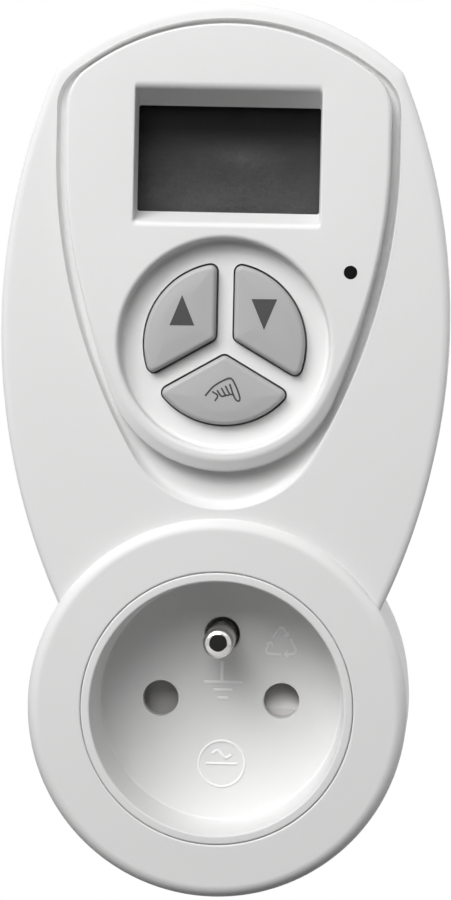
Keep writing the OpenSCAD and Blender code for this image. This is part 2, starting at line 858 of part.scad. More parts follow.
// Conductive rubber strips between cell and board
module lcd_connectors() {
    color("black") for (s = [-1, 1])
        translate([0, window_y + s * (lcd_h / 2 - 1.3), 0]) block(lcd_w - 1, 2, board_top_z, lcd_z);
}

module control_board() {
    color("darkgreen") difference() {
        union() {
            translate([0, (board_low + board_step) / 2, 0])
                block(board_w, board_step - board_low, board_z, board_top_z);
            translate([0, (board_low + board_high) / 2, 0])
                block(board_neck_w, board_high - board_low, board_z, board_top_z);
        }
        at_spots(board_spots) rod(small_screw_r + 0.15, board_z - cut, board_top_z + cut);
    }
}

// Key with a flange behind its opening
module key_cap(heading) {
    color("darkgray") {
        translate([0, 0, flange_z]) linear_extrude(bowl_z + key_rise - flange_z) key_shape(heading, 0);
        translate([0, 0, flange_z]) linear_extrude(key_flange_t) key_shape(heading, key_flange);
    }
}

module up_key() {
    key_cap(up_heading);
}

module down_key() {
    key_cap(down_heading);
}

module manual_key() {
    key_cap(manual_heading);
}

module at_switch(heading) {
    translate([key_seat * cos(heading), keys_y + key_seat * sin(heading), 0]) children();
}

// Push switch with a well for its plunger
module push_switch(heading) {
    top = board_top_z + switch_h;
    color("black") at_switch(heading) difference() {
        block(switch_w, switch_w, board_top_z, top);
        rod(plunger_r + 0.1, top - plunger_sunk - key_travel - slide_gap, top + cut);
    }
}

module up_switch() {
    push_switch(up_heading);
}

module down_switch() {
    push_switch(down_heading);
}

module manual_switch() {
    push_switch(manual_heading);
}

// Plunger that stands in its switch and carries the key
module switch_plunger(heading) {
    color("saddlebrown") at_switch(heading) rod(plunger_r, board_top_z + switch_h - plunger_sunk, flange_z);
}

module up_plunger() {
    switch_plunger(up_heading);
}

module down_plunger() {
    switch_plunger(down_heading);
}

module manual_plunger() {
    switch_plunger(manual_heading);
}

// Dark lens in the raised face, with a collar behind it
module indicator_lens() {
    color("black") translate([dot_x, dot_y, 0]) {
        rod(dot_d / 2, ceil_z - 1.2, face_z);
        rod(dot_d / 2 + 1, ceil_z - 1.2, ceil_z);
    }
}

module indicator_led() {
    color("darkred") translate([dot_x, dot_y, 0]) {
        rod(1.9, board_top_z, board_top_z + 1);
        rod(1.5, board_top_z + 1 - fit, ceil_z - 1.2 - slide_gap);
    }
}

// Pieces on the back of the control board
module microcontroller() {
    color("black") at_spots([chip_at]) block(chip_size[0], chip_size[1], board_z - chip_size[2], board_z);
}

module crystal() {
    color("silver") at_spots([crystal_at]) translate([0, crystal_len / 2, board_z - crystal_r])
        rotate([90, 0, 0]) cylinder(r = crystal_r, h = crystal_len);
}

// Cup under the back-up cell
module cell_holder() {
    color("black") at_spots([cell_at]) difference() {
        rod(cell_r + 1.2, board_z - cell_t + 0.4, board_z);
        rod(cell_r + seam, board_z - cell_t, board_z - 0.6);
    }
}

module backup_cell() {
    color("silver") at_spots([cell_at]) rod(cell_r, board_z - 0.6 - cell_t, board_z - 0.6);
}

// Bead on two legs at the top of the board, near the vents
module thermistor() {
    color("black") at_spots([bead_at]) translate([0, 0, board_z - bead_drop]) sphere(r = bead_r);
    color("silver") for (s = [-1, 1]) translate([bead_at[0] + s * leg_x, bead_at[1], 0])
        rod(leg_r, board_z - bead_drop, board_z);
}

// Pin strip between the two boards
module board_link() {
    top = main_top_z + header_size[2];
    color("black") at_spots([header_at]) {
        block(header_size[0], header_size[1], main_top_z, top);
        for (i = [-2.5:2.5]) translate([i * header_pitch, 0, 0])
            block(header_pin, header_pin, top - fit, board_z);
    }
}

module main_board() {
    color("peru") difference() {
        translate([0, (main_low + main_high) / 2, 0]) block(main_w, main_high - main_low, main_z, main_top_z);
        at_spots(main_spots) rod(small_screw_r + 0.15, main_z - cut, main_top_z + cut);
    }
}

// Pieces on the main board
module relay() {
    color("royalblue") at_spots([relay_at])
        block(relay_size[0], relay_size[1], main_top_z, main_top_z + relay_h);
}

module film_capacitor() {
    color("gold") at_spots([film_at]) block(film_size[0], film_size[1], main_top_z, main_top_z + film_size[2]);
}

module smoothing_capacitor() {
    color("navy") at_spots([can_at]) rod(can_r, main_top_z, main_top_z + can_h);
}

module varistor() {
    color("darkorange") at_spots([disc_at]) translate([0, disc_t / 2, main_top_z + disc_r])
        rotate([90, 0, 0]) cylinder(r = disc_r, h = disc_t);
}

module fuse() {
    color("tan") at_spots([fuse_at]) translate([-fuse_len / 2, 0, main_top_z + fuse_r])
        rotate([0, 90, 0]) cylinder(r = fuse_r, h = fuse_len);
}

module rectifier() {
    color("black") at_spots([bridge_at])
        block(bridge_size[0], bridge_size[1], main_top_z, main_top_z + bridge_size[2]);
}

module regulator() {
    color("black") at_spots([regulator_at])
        block(regulator_size[0], regulator_size[1], main_top_z, main_top_z + regulator_size[2]);
}

// Way points raised to a level
function raised(way, z) = [for (p = way) p + [0, 0, z]];

// End of a wire: up over the board's lower edge and down on its pad
function landing(x) = [
    [x, low_screw_y, main_top_z + wire_h],
    [x, main_low, main_top_z + wire_h],
    [x, main_low + pad_in, main_top_z + wire_r + fit]
];

// Wires from the plug pins and the live contact to pads on the main board
module wire(points, tint) {
    color(tint) tube(smooth(points, 5), wire_r, 8, [1, 0, 0]);
}

module live_wire() {
    start = [-pin_x, 0, live_stem_z + fit];
    lane = live_lane_in - lane_x;
    rise = [lane, live_rise[0], rear_in_z + live_rise[1]];
    wire(concat([start], raised(live_way, rear_in_z), [rise], landing(lane)), "brown");
}

module load_wire() {
    foot_z = carrier_back_z - contact_foot_t;
    start = [-pin_x, 0, foot_z - slide_gap];
    rise = [-lane_x, load_rise[0], foot_z + load_rise[1]];
    wire(concat([start], raised(load_way, foot_z), [rise], landing(-lane_x)), "black");
}

module neutral_wire() {
    start = [pin_x, wire_r + stem_r + fit, nose_face + stem_len];
    wire(concat([start], raised(neutral_way, rear_in_z), landing(lane_x - neutral_lane_in)), "steelblue");
}

module rating_plate() {
    color("silver") translate([0, plate_y, 0])
        block(plate_w - 2 * seam, plate_h - 2 * seam, back_z + 0.1, back_z + plate_sink);
}

// Screws: head towards the wall for the case and control board, towards the viewer for the main board
module screw(r, length, hr, hh) {
    rod(r, -fit, length);
    rod(hr, -hh, 0);
}

module case_screws() {
    color("silver") at_spots(case_screw_spots)
        translate([0, 0, back_z + sink_depth]) screw(screw_r, rear_d - sink_depth + screw_bite, head_r, head_h);
}

module control_board_screws() {
    color("silver") at_spots(board_spots)
        translate([0, 0, board_z]) screw(small_screw_r, small_screw_len, small_head_r, small_head_h);
}

module main_board_screws() {
    color("silver") at_spots(main_spots) translate([0, 0, main_top_z]) mirror([0, 0, 1])
        screw(small_screw_r, small_screw_len - 0.2, small_head_r, small_head_h);
}

upright() front_shell();
upright() rear_shell();
upright() socket_insert();
upright() earth_pin();
upright() contact_carrier();
upright() safety_shutter();
upright() shutter_spring();
upright() live_contact();
upright() neutral_contact();
upright() earth_link();
upright() live_plug_pin();
upright() neutral_plug_pin();
upright() plug_earth_sleeve();
upright() side_earth_clips();
upright() display_window();
upright() lcd_panel();
upright() lcd_frame();
upright() lcd_connectors();
upright() control_board();
upright() up_key();
upright() down_key();
upright() manual_key();
upright() up_switch();
upright() down_switch();
upright() manual_switch();
upright() up_plunger();
upright() down_plunger();
upright() manual_plunger();
upright() indicator_lens();
upright() indicator_led();
upright() microcontroller();
upright() crystal();
upright() cell_holder();
upright() backup_cell();
upright() thermistor();
upright() board_link();
upright() main_board();
upright() relay();
upright() film_capacitor();
upright() smoothing_capacitor();
upright() varistor();
upright() fuse();
upright() rectifier();
upright() regulator();
upright() live_wire();
upright() load_wire();
upright() neutral_wire();
upright() rating_plate();
upright() case_screws();
upright() control_board_screws();
upright() main_board_screws();
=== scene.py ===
"""Looks of the plug-in timer thermostat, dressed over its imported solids.

Shapes are worked out on the bench in millimetres: x to the right, y up the case, z towards the
viewer. to_world() stands them upright and turns them into metres.
"""
import json
import math

import bmesh
import bpy
import numpy as np
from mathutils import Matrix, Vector
from mathutils.geometry import delaunay_2d_cdt


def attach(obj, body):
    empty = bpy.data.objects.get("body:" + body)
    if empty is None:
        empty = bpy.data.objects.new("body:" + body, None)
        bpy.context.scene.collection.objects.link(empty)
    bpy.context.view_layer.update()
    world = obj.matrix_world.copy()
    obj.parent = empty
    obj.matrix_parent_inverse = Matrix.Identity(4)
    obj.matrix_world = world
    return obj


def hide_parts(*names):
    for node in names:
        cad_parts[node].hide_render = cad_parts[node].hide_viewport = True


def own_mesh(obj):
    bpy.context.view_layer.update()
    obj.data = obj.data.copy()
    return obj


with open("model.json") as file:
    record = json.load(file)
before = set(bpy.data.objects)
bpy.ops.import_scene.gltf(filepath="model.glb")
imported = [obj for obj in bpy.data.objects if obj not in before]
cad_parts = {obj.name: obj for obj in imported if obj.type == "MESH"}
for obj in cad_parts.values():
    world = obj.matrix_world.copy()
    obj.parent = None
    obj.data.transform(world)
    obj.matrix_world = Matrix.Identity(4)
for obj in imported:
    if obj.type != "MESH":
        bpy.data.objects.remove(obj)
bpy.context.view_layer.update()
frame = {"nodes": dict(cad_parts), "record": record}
nodes = frame["nodes"]

# Case, in millimetres
CASE_HALF = 34.7
WIDEST_Y = 58.8
SIDE_R = 102.0
SIDE_C = np.array([CASE_HALF - SIDE_R, WIDEST_Y])
TOP_R = 40.0
TOP_C = np.array([0.0, 68.7])
JOINT_Z = 33.0
FRONT_Z = 55.5
DRAFT = 0.2
SIDE_EDGE = 0.8
TOP_EDGE = 1.0
EDGE_SPAN = 1.7
HIDDEN_R = 27.0
EDGE_POWER = 2.4
SEAM_IN = 0.25
SEAM_UP = 0.15

# Narrow flat strips beside roundings, which keep their shading from spreading over the flats
STRIP = 0.07
WIDE_STRIP = 0.1
RIM_STRIP = 0.08
HOLE_STRIP = 0.06

# Sunk field and raised face: half width, end height, end radius, top radius
FIELD = (26.1, 46.4, 15.4, 37.35)
FACE = (25.0, 56.0, 17.9, 36.6)
BEND_Y = 85.5
CORNER_R = 7.5
FACE_Z = 57.0
HUB = np.array([0.0, 66.5])
FACE_EDGE = 0.65
FACE_EDGE_TOP = 0.35

# Heights between which the outline turns from side to top, and the face edge from bevel to round
UPPER_Y = (95.5, 101.5)
LOWER_Y = (38.5, 64.5)

# Lip of the sunk field, the groove beside and above the face, and the valley below the bowl
LIP_OUT = 0.4
LIP_IN_TOP = 0.25
GROOVE_DEPTH = 1.6
GROOVE_SOFT = 0.35
GROOVE_SOFT_TOP = 0.25
VALLEY_DEPTH = 1.75
VALLEY_SOFT = 0.8
VALLEY_FALL = 0.15
VALLEY_WIDTH = (1.8, 7.0)
FOOT_GAP = 0.15

# Edge of the face below the bowl, from its flat outwards: place along it, distance out and drop
BEVEL_AT = (0, 0.1, 0.2, 0.3, 0.4, 0.8, 0.87, 0.94, 1.0)
BEVEL_OUT = (-0.65, -0.49, -0.33, -0.16, 0.0, 1.3, 1.41, 1.47, 1.5)
BEVEL_DROP = (0.0, 0.012, 0.04, 0.085, 0.15, 0.73, 0.8, 0.89, 1.0)

# Key bowl and keys
BOWL_C = np.array([0.0, 56.15])
BOWL_R = 17.0
BOWL_RIM = 0.8
BOWL_FOOT = 0.6
BOWL_Z = 53.8
BOWL_LEAN = 0.06
CEILING_Z = 51.6
KEY_R = 12.4
KEY_WEB = 2.85
KEY_CORNER = 1.0
KEY_PLAY = 0.3
KEY_TOP = 55.8
KEY_FOOT = 50.4
KEY_EDGE = 0.8
KEY_CROWN = 0.22
KEY_FLANGE = 0.8
KEY_FLANGE_T = 0.9
SIGN_LIFT = 0.012
HAND_STROKE = 0.27
HEADINGS = {"up_key": 150, "down_key": 30, "manual_key": 270}

# Window and lens: each wall has its edge radius and its slope in degrees
WINDOW_C = np.array([0.0, 84.55])
VIEW = np.array([14.05, 8.15])
TOP_WALL = (1.5, 60.5)
BOTTOM_WALL = (1.0, 71.0)
SIDE_WALL = (0.3, 86.4)
WELL_CORNER = 0.4
WELL_CORNER_GROWTH = 0.6
PANE_Z = 52.0
DOT_C = np.array([19.2, 67.6])
DOT_R = 1.0
DOT_PLAY = 0.05
DOT_DEPTH = 1.5

# Socket
RING_R = 29.5
RING_Z = 57.0
RING_EDGE = 1.9
CUP_R = 21.0
CUP_PLAY = 0.08
CUP_EDGE = 0.25
RECESS_R = 19.6
RECESS_TAPER = 0.6
RECESS_EDGE = 0.32
RECESS_FOOT = 0.3
RECESS_Z = 42.0
CUP_BACK_Z = 39.0
HOLE_R = 2.8
PIN_X = 9.5
PIN_R = 2.4
PIN_NOSE = 1.2
EARTH_Y = 10.0
EARTH_TIP = 56.0
EARTH_HOLE_Y = 10.3
EARTH_HOLE_R = 2.75
EARTH_TAIL = (1.5, 23.0)
EARTH_COLLAR = (3.8, 35.0)
EARTH_NECK_R = 2.2
HOLE_EDGE = 0.22
RING_TURN = 0.28

# Moulded marks: width and height of their ribs, and how far the ribs start below the floor
EARTH_RIB = (0.5, 0.22)
RING_RIB = (0.36, 0.2)
WAVE_RIB = (0.45, 0.22)
ARROW_RIB = (0.42, 0.26)
BARB_RIB = (0.36, 0.24)
RIB_SINK = 0.02

# Edges flatter than these angles, in degrees, are smoothed: on new pieces, the rear shell and the spring
SMOOTH_TURN = 32
REAR_TURN = 22
SPRING_TURN = 75

# In metres: the display's heights over which its painted shade runs, and place and half size of its painted
# highlight
PAINTED_SHADE_SPAN = (0.076, 0.0935)
PAINTED_HIGHLIGHT_AT = (0.002, 0.0847)
PAINTED_HIGHLIGHT_HALF = (0.012, 0.004)

# Camera: point aimed at and distance in metres, azimuth, rise and roll in degrees, lens in millimetres
CAMERA_AIM = (0.0005, -0.055, 0.03987)
CAMERA_FAR = 0.7071
CAMERA_TURN = (2.625, 2.572, 1.186)
CAMERA_LENS = 183.6

# Stage in metres: corners of the floor and of a dark cloth behind the camera, and the lamps with their watts
FLOOR_CORNERS = ((-0.6, -0.7, -0.12), (0.6, -0.7, -0.12), (0.6, 0.42, -0.12), (-0.6, 0.42, -0.12))
CLOTH_CORNERS = ((-0.3, -0.98, -0.25), (0.3, -0.98, -0.25), (0.3, -0.98, 0.3), (-0.3, -0.98, 0.3))
LAMP_AIM = (0.0, -0.05, 0.05)
LAMP_SIZE = 0.35
LAMPS = {
    "key lamp": ((-0.301, -0.501, 0.569), 2.7),
    "side lamp": ((-0.465, -0.515, 0.410), 1.5),
    "top lamp": ((0.0, -0.529, 0.627), 0.7),
    "front lamp": ((-0.113, -0.689, 0.426), 1.8),
    "right lamp": ((0.338, -0.500, 0.546), 0.3),
    "far lamp": ((0.75, 0.12, 0.25), 2.0),
    "back lamp": ((-0.25, 0.75, 0.45), 4.0),
}


def to_world(points):
    """Bench millimetres to metres in the shared frame: x stays, z runs to -Y and y to +Z."""
    p = np.asarray(points, float)
    return np.stack([p[..., 0], -p[..., 2], p[..., 1]], -1) * 0.001


def lift(plan, z):
    """Plan points with their height added as the third number."""
    plan = np.asarray(plan, float)
    return np.concatenate([plan, np.broadcast_to(z, plan.shape[:-1])[..., None]], -1)


def arc(centre, radius, start, end, count):
    """Points on a circle from the start angle to the end angle, in degrees."""
    t = np.radians(np.linspace(start, end, count))
    return np.asarray(centre) + radius * np.stack([np.cos(t), np.sin(t)], -1)


def circle(centre, radius, count):
    """Closed loop of evenly spaced points, anticlockwise, without its first point repeated."""
    return arc(centre, radius, 0, 360, count + 1)[:-1]


def smoothstep(x, low, high):
    """Zero below low, one above high and a smooth S between them."""
    t = np.clip((np.asarray(x, float) - low) / (high - low), 0, 1)
    return t * t * (3 - 2 * t)


def grid_quads(i):
    """Four-sided faces between neighbours in a grid of point numbers."""
    return np.stack([i[:-1, :-1], i[:-1, 1:], i[1:, 1:], i[1:, :-1]], -1).reshape(-1, 4)


class Skin:
    """Patches of one piece: grids of points and flat sheets, joined where their edges meet."""

    def __init__(self):
        self.points = []
        self.faces = []
        self.count = 0

    def add(self, points, faces):
        """Takes points and the faces that number them."""
        points = np.reshape(points, (-1, 3))
        self.points.append(points)
        self.faces += (np.asarray(faces) + self.count).tolist()
        self.count += len(points)

    def grid(self, p, loop=True):
        """Four-sided faces between neighbouring points of a grid, its rows closed where loop is set."""
        rows, columns = p.shape[:2]
        i = np.arange(rows * columns).reshape(rows, columns)
        if loop:
            i = np.concatenate([i, i[:, :1]], axis=1)
        self.add(p, grid_quads(i))

    def rows(self, loops, heights):
        """Grid of closed plan loops, each at its height or with its own heights."""
        self.grid(np.stack([lift(p, z) for p, z in zip(loops, heights)]))

    def turned(self, centre, profile, count):
        """Profile of radii and heights carried round an upright axis."""
        self.rows([circle(centre, r, count) for r, _ in profile], [z for _, z in profile])

    def sheet(self, outer, holes, z):
        """Flat sheet inside one loop and outside the others, cut into triangles."""
        loops = [outer] + list(holes)
        points = np.concatenate(loops)
        ends = np.cumsum([len(p) for p in loops])
        edges = []
        for end, loop in zip(ends, loops):
            i = np.arange(end - len(loop), end)
            edges += np.stack([i, np.roll(i, -1)], -1).tolist()
        cut = delaunay_2d_cdt([Vector(p) for p in points.tolist()], edges, [], 0, 1e-7)
        flat = np.array([tuple(v) for v in cut[0]])
        faces = np.array([f for f in cut[2]])
        middle = flat[faces].mean(axis=1)
        keep = inside(middle, outer)
        for hole in holes:
            keep &= ~inside(middle, hole)
        faces = faces[keep]
        a, b, c = (flat[faces[:, k]] for k in range(3))
        u = b - a
        w = c - a
        wrong = u[:, 0] * w[:, 1] < u[:, 1] * w[:, 0]
        faces[wrong] = faces[wrong][:, ::-1]
        self.add(lift(flat, z), faces)


def inside(points, loop):
    """Which plan points lie in a closed loop, by counting the edges that a ray to the right crosses."""
    x, y = points[:, :1], points[:, 1:2]
    a = loop[None]
    b = np.roll(loop, -1, axis=0)[None]
    straddles = (a[..., 1] > y) != (b[..., 1] > y)
    rise = np.where(b[..., 1] == a[..., 1], 1e-12, b[..., 1] - a[..., 1])
    at = a[..., 0] + (y - a[..., 1]) * (b[..., 0] - a[..., 0]) / rise
    return (straddles & (x < at)).sum(axis=1) % 2 == 1


def finish_mesh(mesh, angle=SMOOTH_TURN):
    """Merges points that meet and smooths every edge that is flatter than the angle."""
    work = bmesh.new()
    work.from_mesh(mesh)
    bmesh.ops.remove_doubles(work, verts=work.verts, dist=2e-6)
    work.to_mesh(mesh)
    work.free()
    mesh.shade_smooth()
    mesh.set_sharp_from_angle(angle=math.radians(angle))


def make_piece(name, skin, body, material, replaced=()):
    """Turns patches into a piece that rides on a body and stands for the named nodes."""
    mesh = bpy.data.meshes.new(name)
    mesh.from_pydata(to_world(np.concatenate(skin.points)).tolist(), [], skin.faces)
    finish_mesh(mesh)
    dress(bpy.data.objects.new(name, mesh), body, material, replaced)


def dress(piece, body, material, replaced=()):
    """Links a piece, gives it its finish and lets it ride on its body."""
    bpy.context.scene.collection.objects.link(piece)
    piece.data.materials.clear()
    piece.data.materials.append(material)
    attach(piece, body)
    if replaced:
        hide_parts(*replaced)
    return piece


def crisp_flats(mesh):
    """Marks the rim of every face that looks straight forwards or back, so that smoothing leaves it flat."""
    normals = np.zeros(3 * len(mesh.polygons))
    mesh.polygons.foreach_get("normal", normals)
    flat = np.abs(normals.reshape(-1, 3)[:, 1]) > 0.9999
    sides = np.zeros(len(mesh.polygons), int)
    mesh.polygons.foreach_get("loop_total", sides)
    edges = np.zeros(len(mesh.loops), int)
    mesh.loops.foreach_get("edge_index", edges)
    flat_sides = np.bincount(edges, np.repeat(flat, sides), len(mesh.edges))
    all_sides = np.bincount(edges, minlength=len(mesh.edges))
    sharp = np.zeros(len(mesh.edges), bool)
    mesh.edges.foreach_get("use_edge_sharp", sharp)
    mesh.edges.foreach_set("use_edge_sharp", sharp | ((flat_sides > 0) & (flat_sides < all_sides)))


def smoothed_copy(node, body, material, angle):
    """Copy of a solid with its triangles joined and its rounded edges smoothed."""
    mesh = nodes[node].data.copy()
    mesh.name = node + "_smooth"
    finish_mesh(mesh, angle)
    crisp_flats(mesh)
    return dress(bpy.data.objects.new(mesh.name, mesh), body, material, (node,))


# Finishes


def socket_in(group, name, kind, value):
    """Named input of a node group with its usual value."""
    made = group.interface.new_socket(name=name, in_out="INPUT", socket_type=kind)
    made.default_value = value


def socket_out(group, name, kind):
    """Named output of a node group."""
    group.interface.new_socket(name=name, in_out="OUTPUT", socket_type=kind)


def noise_on(tree, vector, scale, detail):
    """Noise texture read at the given coordinates."""
    noise = tree.nodes.new("ShaderNodeTexNoise")
    noise.inputs["Detail"].default_value = detail
    if isinstance(scale, float):
        noise.inputs["Scale"].default_value = scale
    else:
        tree.links.new(scale, noise.inputs["Scale"])
    tree.links.new(vector, noise.inputs["Vector"])
    return noise.outputs["Fac"]


def spread(tree, value, low, high):
    """Carries a value from zero to one over to the range from low to high."""
    node = tree.nodes.new("ShaderNodeMapRange")
    tree.links.new(value, node.inputs["Value"])
    for name, end in (("To Min", low), ("To Max", high)):
        if isinstance(end, float):
            node.inputs[name].default_value = end
        else:
            tree.links.new(end, node.inputs[name])
    return node.outputs["Result"]


def mixed(tree, factor, a, b):
    """Colour between a and b."""
    node = tree.nodes.new("ShaderNodeMix")
    node.data_type = "RGBA"
    tree.links.new(factor, node.inputs["Factor"])
    for name, colour in ((6, a), (7, b)):
        if isinstance(colour, tuple):
            node.inputs[name].default_value = colour
        else:
            tree.links.new(colour, node.inputs[name])
    return node.outputs[2]


def moulded_group():
    """Moulded plastic: a faint cloudy tint, patches of gloss and the fine grain of the tool's surface."""
    group = bpy.data.node_groups.new("moulded plastic", "ShaderNodeTree")
    socket_in(group, "Colour", "NodeSocketColor", (0.8, 0.8, 0.8, 1))
    socket_in(group, "Cloud colour", "NodeSocketColor", (0.75, 0.75, 0.75, 1))
    socket_in(group, "Dull", "NodeSocketFloat", 0.5)
    socket_in(group, "Shiny", "NodeSocketFloat", 0.4)
    socket_in(group, "Grain scale", "NodeSocketFloat", 3000.0)
    socket_out(group, "Colour", "NodeSocketColor")
    socket_out(group, "Roughness", "NodeSocketFloat")
    socket_out(group, "Height", "NodeSocketFloat")
    into = group.nodes.new("NodeGroupInput")
    out = group.nodes.new("NodeGroupOutput")
    where = group.nodes.new("ShaderNodeTexCoord").outputs["Object"]
    cloud = noise_on(group, where, 45.0, 3.0)
    grain = noise_on(group, where, into.outputs["Grain scale"], 2.0)
    colour = mixed(group, cloud, into.outputs["Colour"], into.outputs["Cloud colour"])
    rough = spread(group, grain, into.outputs["Shiny"], into.outputs["Dull"])
    group.links.new(colour, out.inputs["Colour"])
    group.links.new(rough, out.inputs["Roughness"])
    group.links.new(grain, out.inputs["Height"])
    return group


def drawn_group():
    """Drawn or plated metal: fine lines along one direction, with stains that dull it a little."""
    group = bpy.data.node_groups.new("drawn metal", "ShaderNodeTree")
    socket_in(group, "Colour", "NodeSocketColor", (0.8, 0.8, 0.8, 1))
    socket_in(group, "Stain", "NodeSocketColor", (0.6, 0.6, 0.6, 1))
    socket_in(group, "Dull", "NodeSocketFloat", 0.35)
    socket_in(group, "Shiny", "NodeSocketFloat", 0.15)
    socket_out(group, "Colour", "NodeSocketColor")
    socket_out(group, "Roughness", "NodeSocketFloat")
    socket_out(group, "Height", "NodeSocketFloat")
    into = group.nodes.new("NodeGroupInput")
    out = group.nodes.new("NodeGroupOutput")
    where = group.nodes.new("ShaderNodeTexCoord").outputs["Object"]
    turn = group.nodes.new("ShaderNodeMapping")
    turn.inputs["Scale"].default_value = (1, 0.04, 1)
    group.links.new(where, turn.inputs["Vector"])
    lines = noise_on(group, turn.outputs["Vector"], 4000.0, 2.0)
    stain = noise_on(group, where, 220.0, 3.0)
    group.links.new(mixed(group, stain, into.outputs["Colour"], into.outputs["Stain"]), out.inputs["Colour"])
    rough = spread(group, lines, into.outputs["Shiny"], into.outputs["Dull"])
    group.links.new(rough, out.inputs["Roughness"])
    group.links.new(lines, out.inputs["Height"])
    return group


MOULDED = moulded_group()
DRAWN = drawn_group()


def new_material(name):
    """Empty material with its shader, and the tree that they are in."""
    material = bpy.data.materials.new(name)
    material.use_nodes = True
    tree = material.node_tree
    return material, tree, tree.nodes["Principled BSDF"]


def raised(tree, shader, height, strength, depth):
    """Bump of the given depth in metres on the shader's normal."""
    bump = tree.nodes.new("ShaderNodeBump")
    bump.inputs["Strength"].default_value = strength
    bump.inputs["Distance"].default_value = depth
    tree.links.new(height, bump.inputs["Height"])
    tree.links.new(bump.outputs["Normal"], shader.inputs["Normal"])


def grouped(name, group, values, bump, depth=0.00004, **constants):
    """Material whose colour, roughness and grain come from a shared group."""
    material, tree, shader = new_material(name)
    node = tree.nodes.new("ShaderNodeGroup")
    node.node_tree = group
    for key, value in values.items():
        node.inputs[key].default_value = value
    tree.links.new(node.outputs["Colour"], shader.inputs["Base Color"])
    tree.links.new(node.outputs["Roughness"], shader.inputs["Roughness"])
    raised(tree, shader, node.outputs["Height"], bump, depth)
    for key, value in constants.items():
        shader.inputs[key].default_value = value
    return material


def grey(value, warm=0.0):
    """Linear colour of a written grey from zero to one, a little warmer or cooler."""
    tones = np.array([value + warm, value, value - warm])
    linear = np.where(tones <= 0.04045, tones / 12.92, ((tones + 0.055) / 1.055) ** 2.4)
    return tuple(linear.tolist()) + (1.0,)


def rgb(red, green, blue):
    """Linear colour of three written tones from zero to one."""
    return tuple(grey(t)[0] for t in (red, green, blue)) + (1.0,)


def plastic(name, colour, cloud, shiny=0.35, dull=0.5, scale=3000.0, bump=0.25, **constants):
    """Moulded plastic in one colour."""
    values = {"Colour": colour, "Cloud colour": cloud, "Dull": dull, "Shiny": shiny, "Grain scale": scale}
    return grouped(name, MOULDED, values, bump, **constants)


def metal(name, colour, stain, shiny, dull):
    """Drawn or plated metal in one colour."""
    values = {"Colour": colour, "Stain": stain, "Dull": dull, "Shiny": shiny}
    return grouped(name, DRAWN, values, 0.15, 0.00002, Metallic=1.0)


def glass_pane(name):
    """Clear pane: see-through, with a thin film of dust that dulls its shine in places."""
    material, tree, shader = new_material(name)
    where = tree.nodes.new("ShaderNodeTexCoord").outputs["Object"]
    haze = noise_on(tree, where, 300.0, 4.0)
    tree.links.new(spread(tree, haze, 0.03, 0.09), shader.inputs["Roughness"])
    tree.links.new(spread(tree, haze, 0.04, 0.08), shader.inputs["Alpha"])
    tint = mixed(tree, haze, grey(0.2), grey(0.3))
    tree.links.new(tint, shader.inputs["Base Color"])
    shader.inputs["Specular IOR Level"].default_value = 0.6
    return material


def display_cell(name):
    """Idle liquid crystal in dark grey: painted shade darkens it towards the top, painted reflection pales it
    below, with a painted soft highlight, blotches and speckle.
    """
    material, tree, shader = new_material(name)
    where = tree.nodes.new("ShaderNodeTexCoord").outputs["Object"]
    apart = tree.nodes.new("ShaderNodeSeparateXYZ")
    tree.links.new(where, apart.inputs["Vector"])
    height = tree.nodes.new("ShaderNodeMapRange")
    height.inputs["From Min"].default_value, height.inputs["From Max"].default_value = PAINTED_SHADE_SPAN
    tree.links.new(apart.outputs["Z"], height.inputs["Value"])
    # Painted shade and reflection: the cell's grey darkens towards the top, where the window's top wall
    # shades it, and pales below
    painted_shade_ramp = tree.nodes.new("ShaderNodeValToRGB")
    painted_shade_ramp.color_ramp.elements[0].color = grey(0.44)
    painted_shade_ramp.color_ramp.elements[1].color = grey(0.05)
    for at, tone in ((0.55, 0.3), (0.76, 0.1)):
        painted_shade_ramp.color_ramp.elements.new(at).color = grey(tone)
    tree.links.new(height.outputs["Result"], painted_shade_ramp.inputs["Fac"])
    # Painted highlight: a soft pale patch painted on the cell at a set place and size
    centre = tree.nodes.new("ShaderNodeMapping")
    (highlight_x, highlight_z), (half_x, half_z) = PAINTED_HIGHLIGHT_AT, PAINTED_HIGHLIGHT_HALF
    centre.inputs["Location"].default_value = (-highlight_x / half_x, 0.0, -highlight_z / half_z)
    centre.inputs["Scale"].default_value = (1 / half_x, 0.0, 1 / half_z)
    tree.links.new(where, centre.inputs["Vector"])
    painted_highlight = tree.nodes.new("ShaderNodeTexGradient")
    painted_highlight.gradient_type = "QUADRATIC_SPHERE"
    tree.links.new(centre.outputs["Vector"], painted_highlight.inputs["Vector"])
    shade_and_highlight = mixed(tree, spread(tree, painted_highlight.outputs["Fac"], 0.0, 0.7), painted_shade_ramp.outputs["Color"], grey(0.46))
    blotch = noise_on(tree, where, 260.0, 3.0)
    clouded = mixed(tree, spread(tree, blotch, 0.0, 0.5), shade_and_highlight, grey(0.16))
    speckle = noise_on(tree, where, 2500.0, 2.0)
    colour = mixed(tree, spread(tree, speckle, 0.0, 0.5), clouded, grey(0.1))
    tree.links.new(colour, shader.inputs["Base Color"])
    tree.links.new(spread(tree, speckle, 0.15, 0.3), shader.inputs["Roughness"])
    shader.inputs["Specular IOR Level"].default_value = 0.1
    raised(tree, shader, speckle, 0.05, 0.00002)
    return material


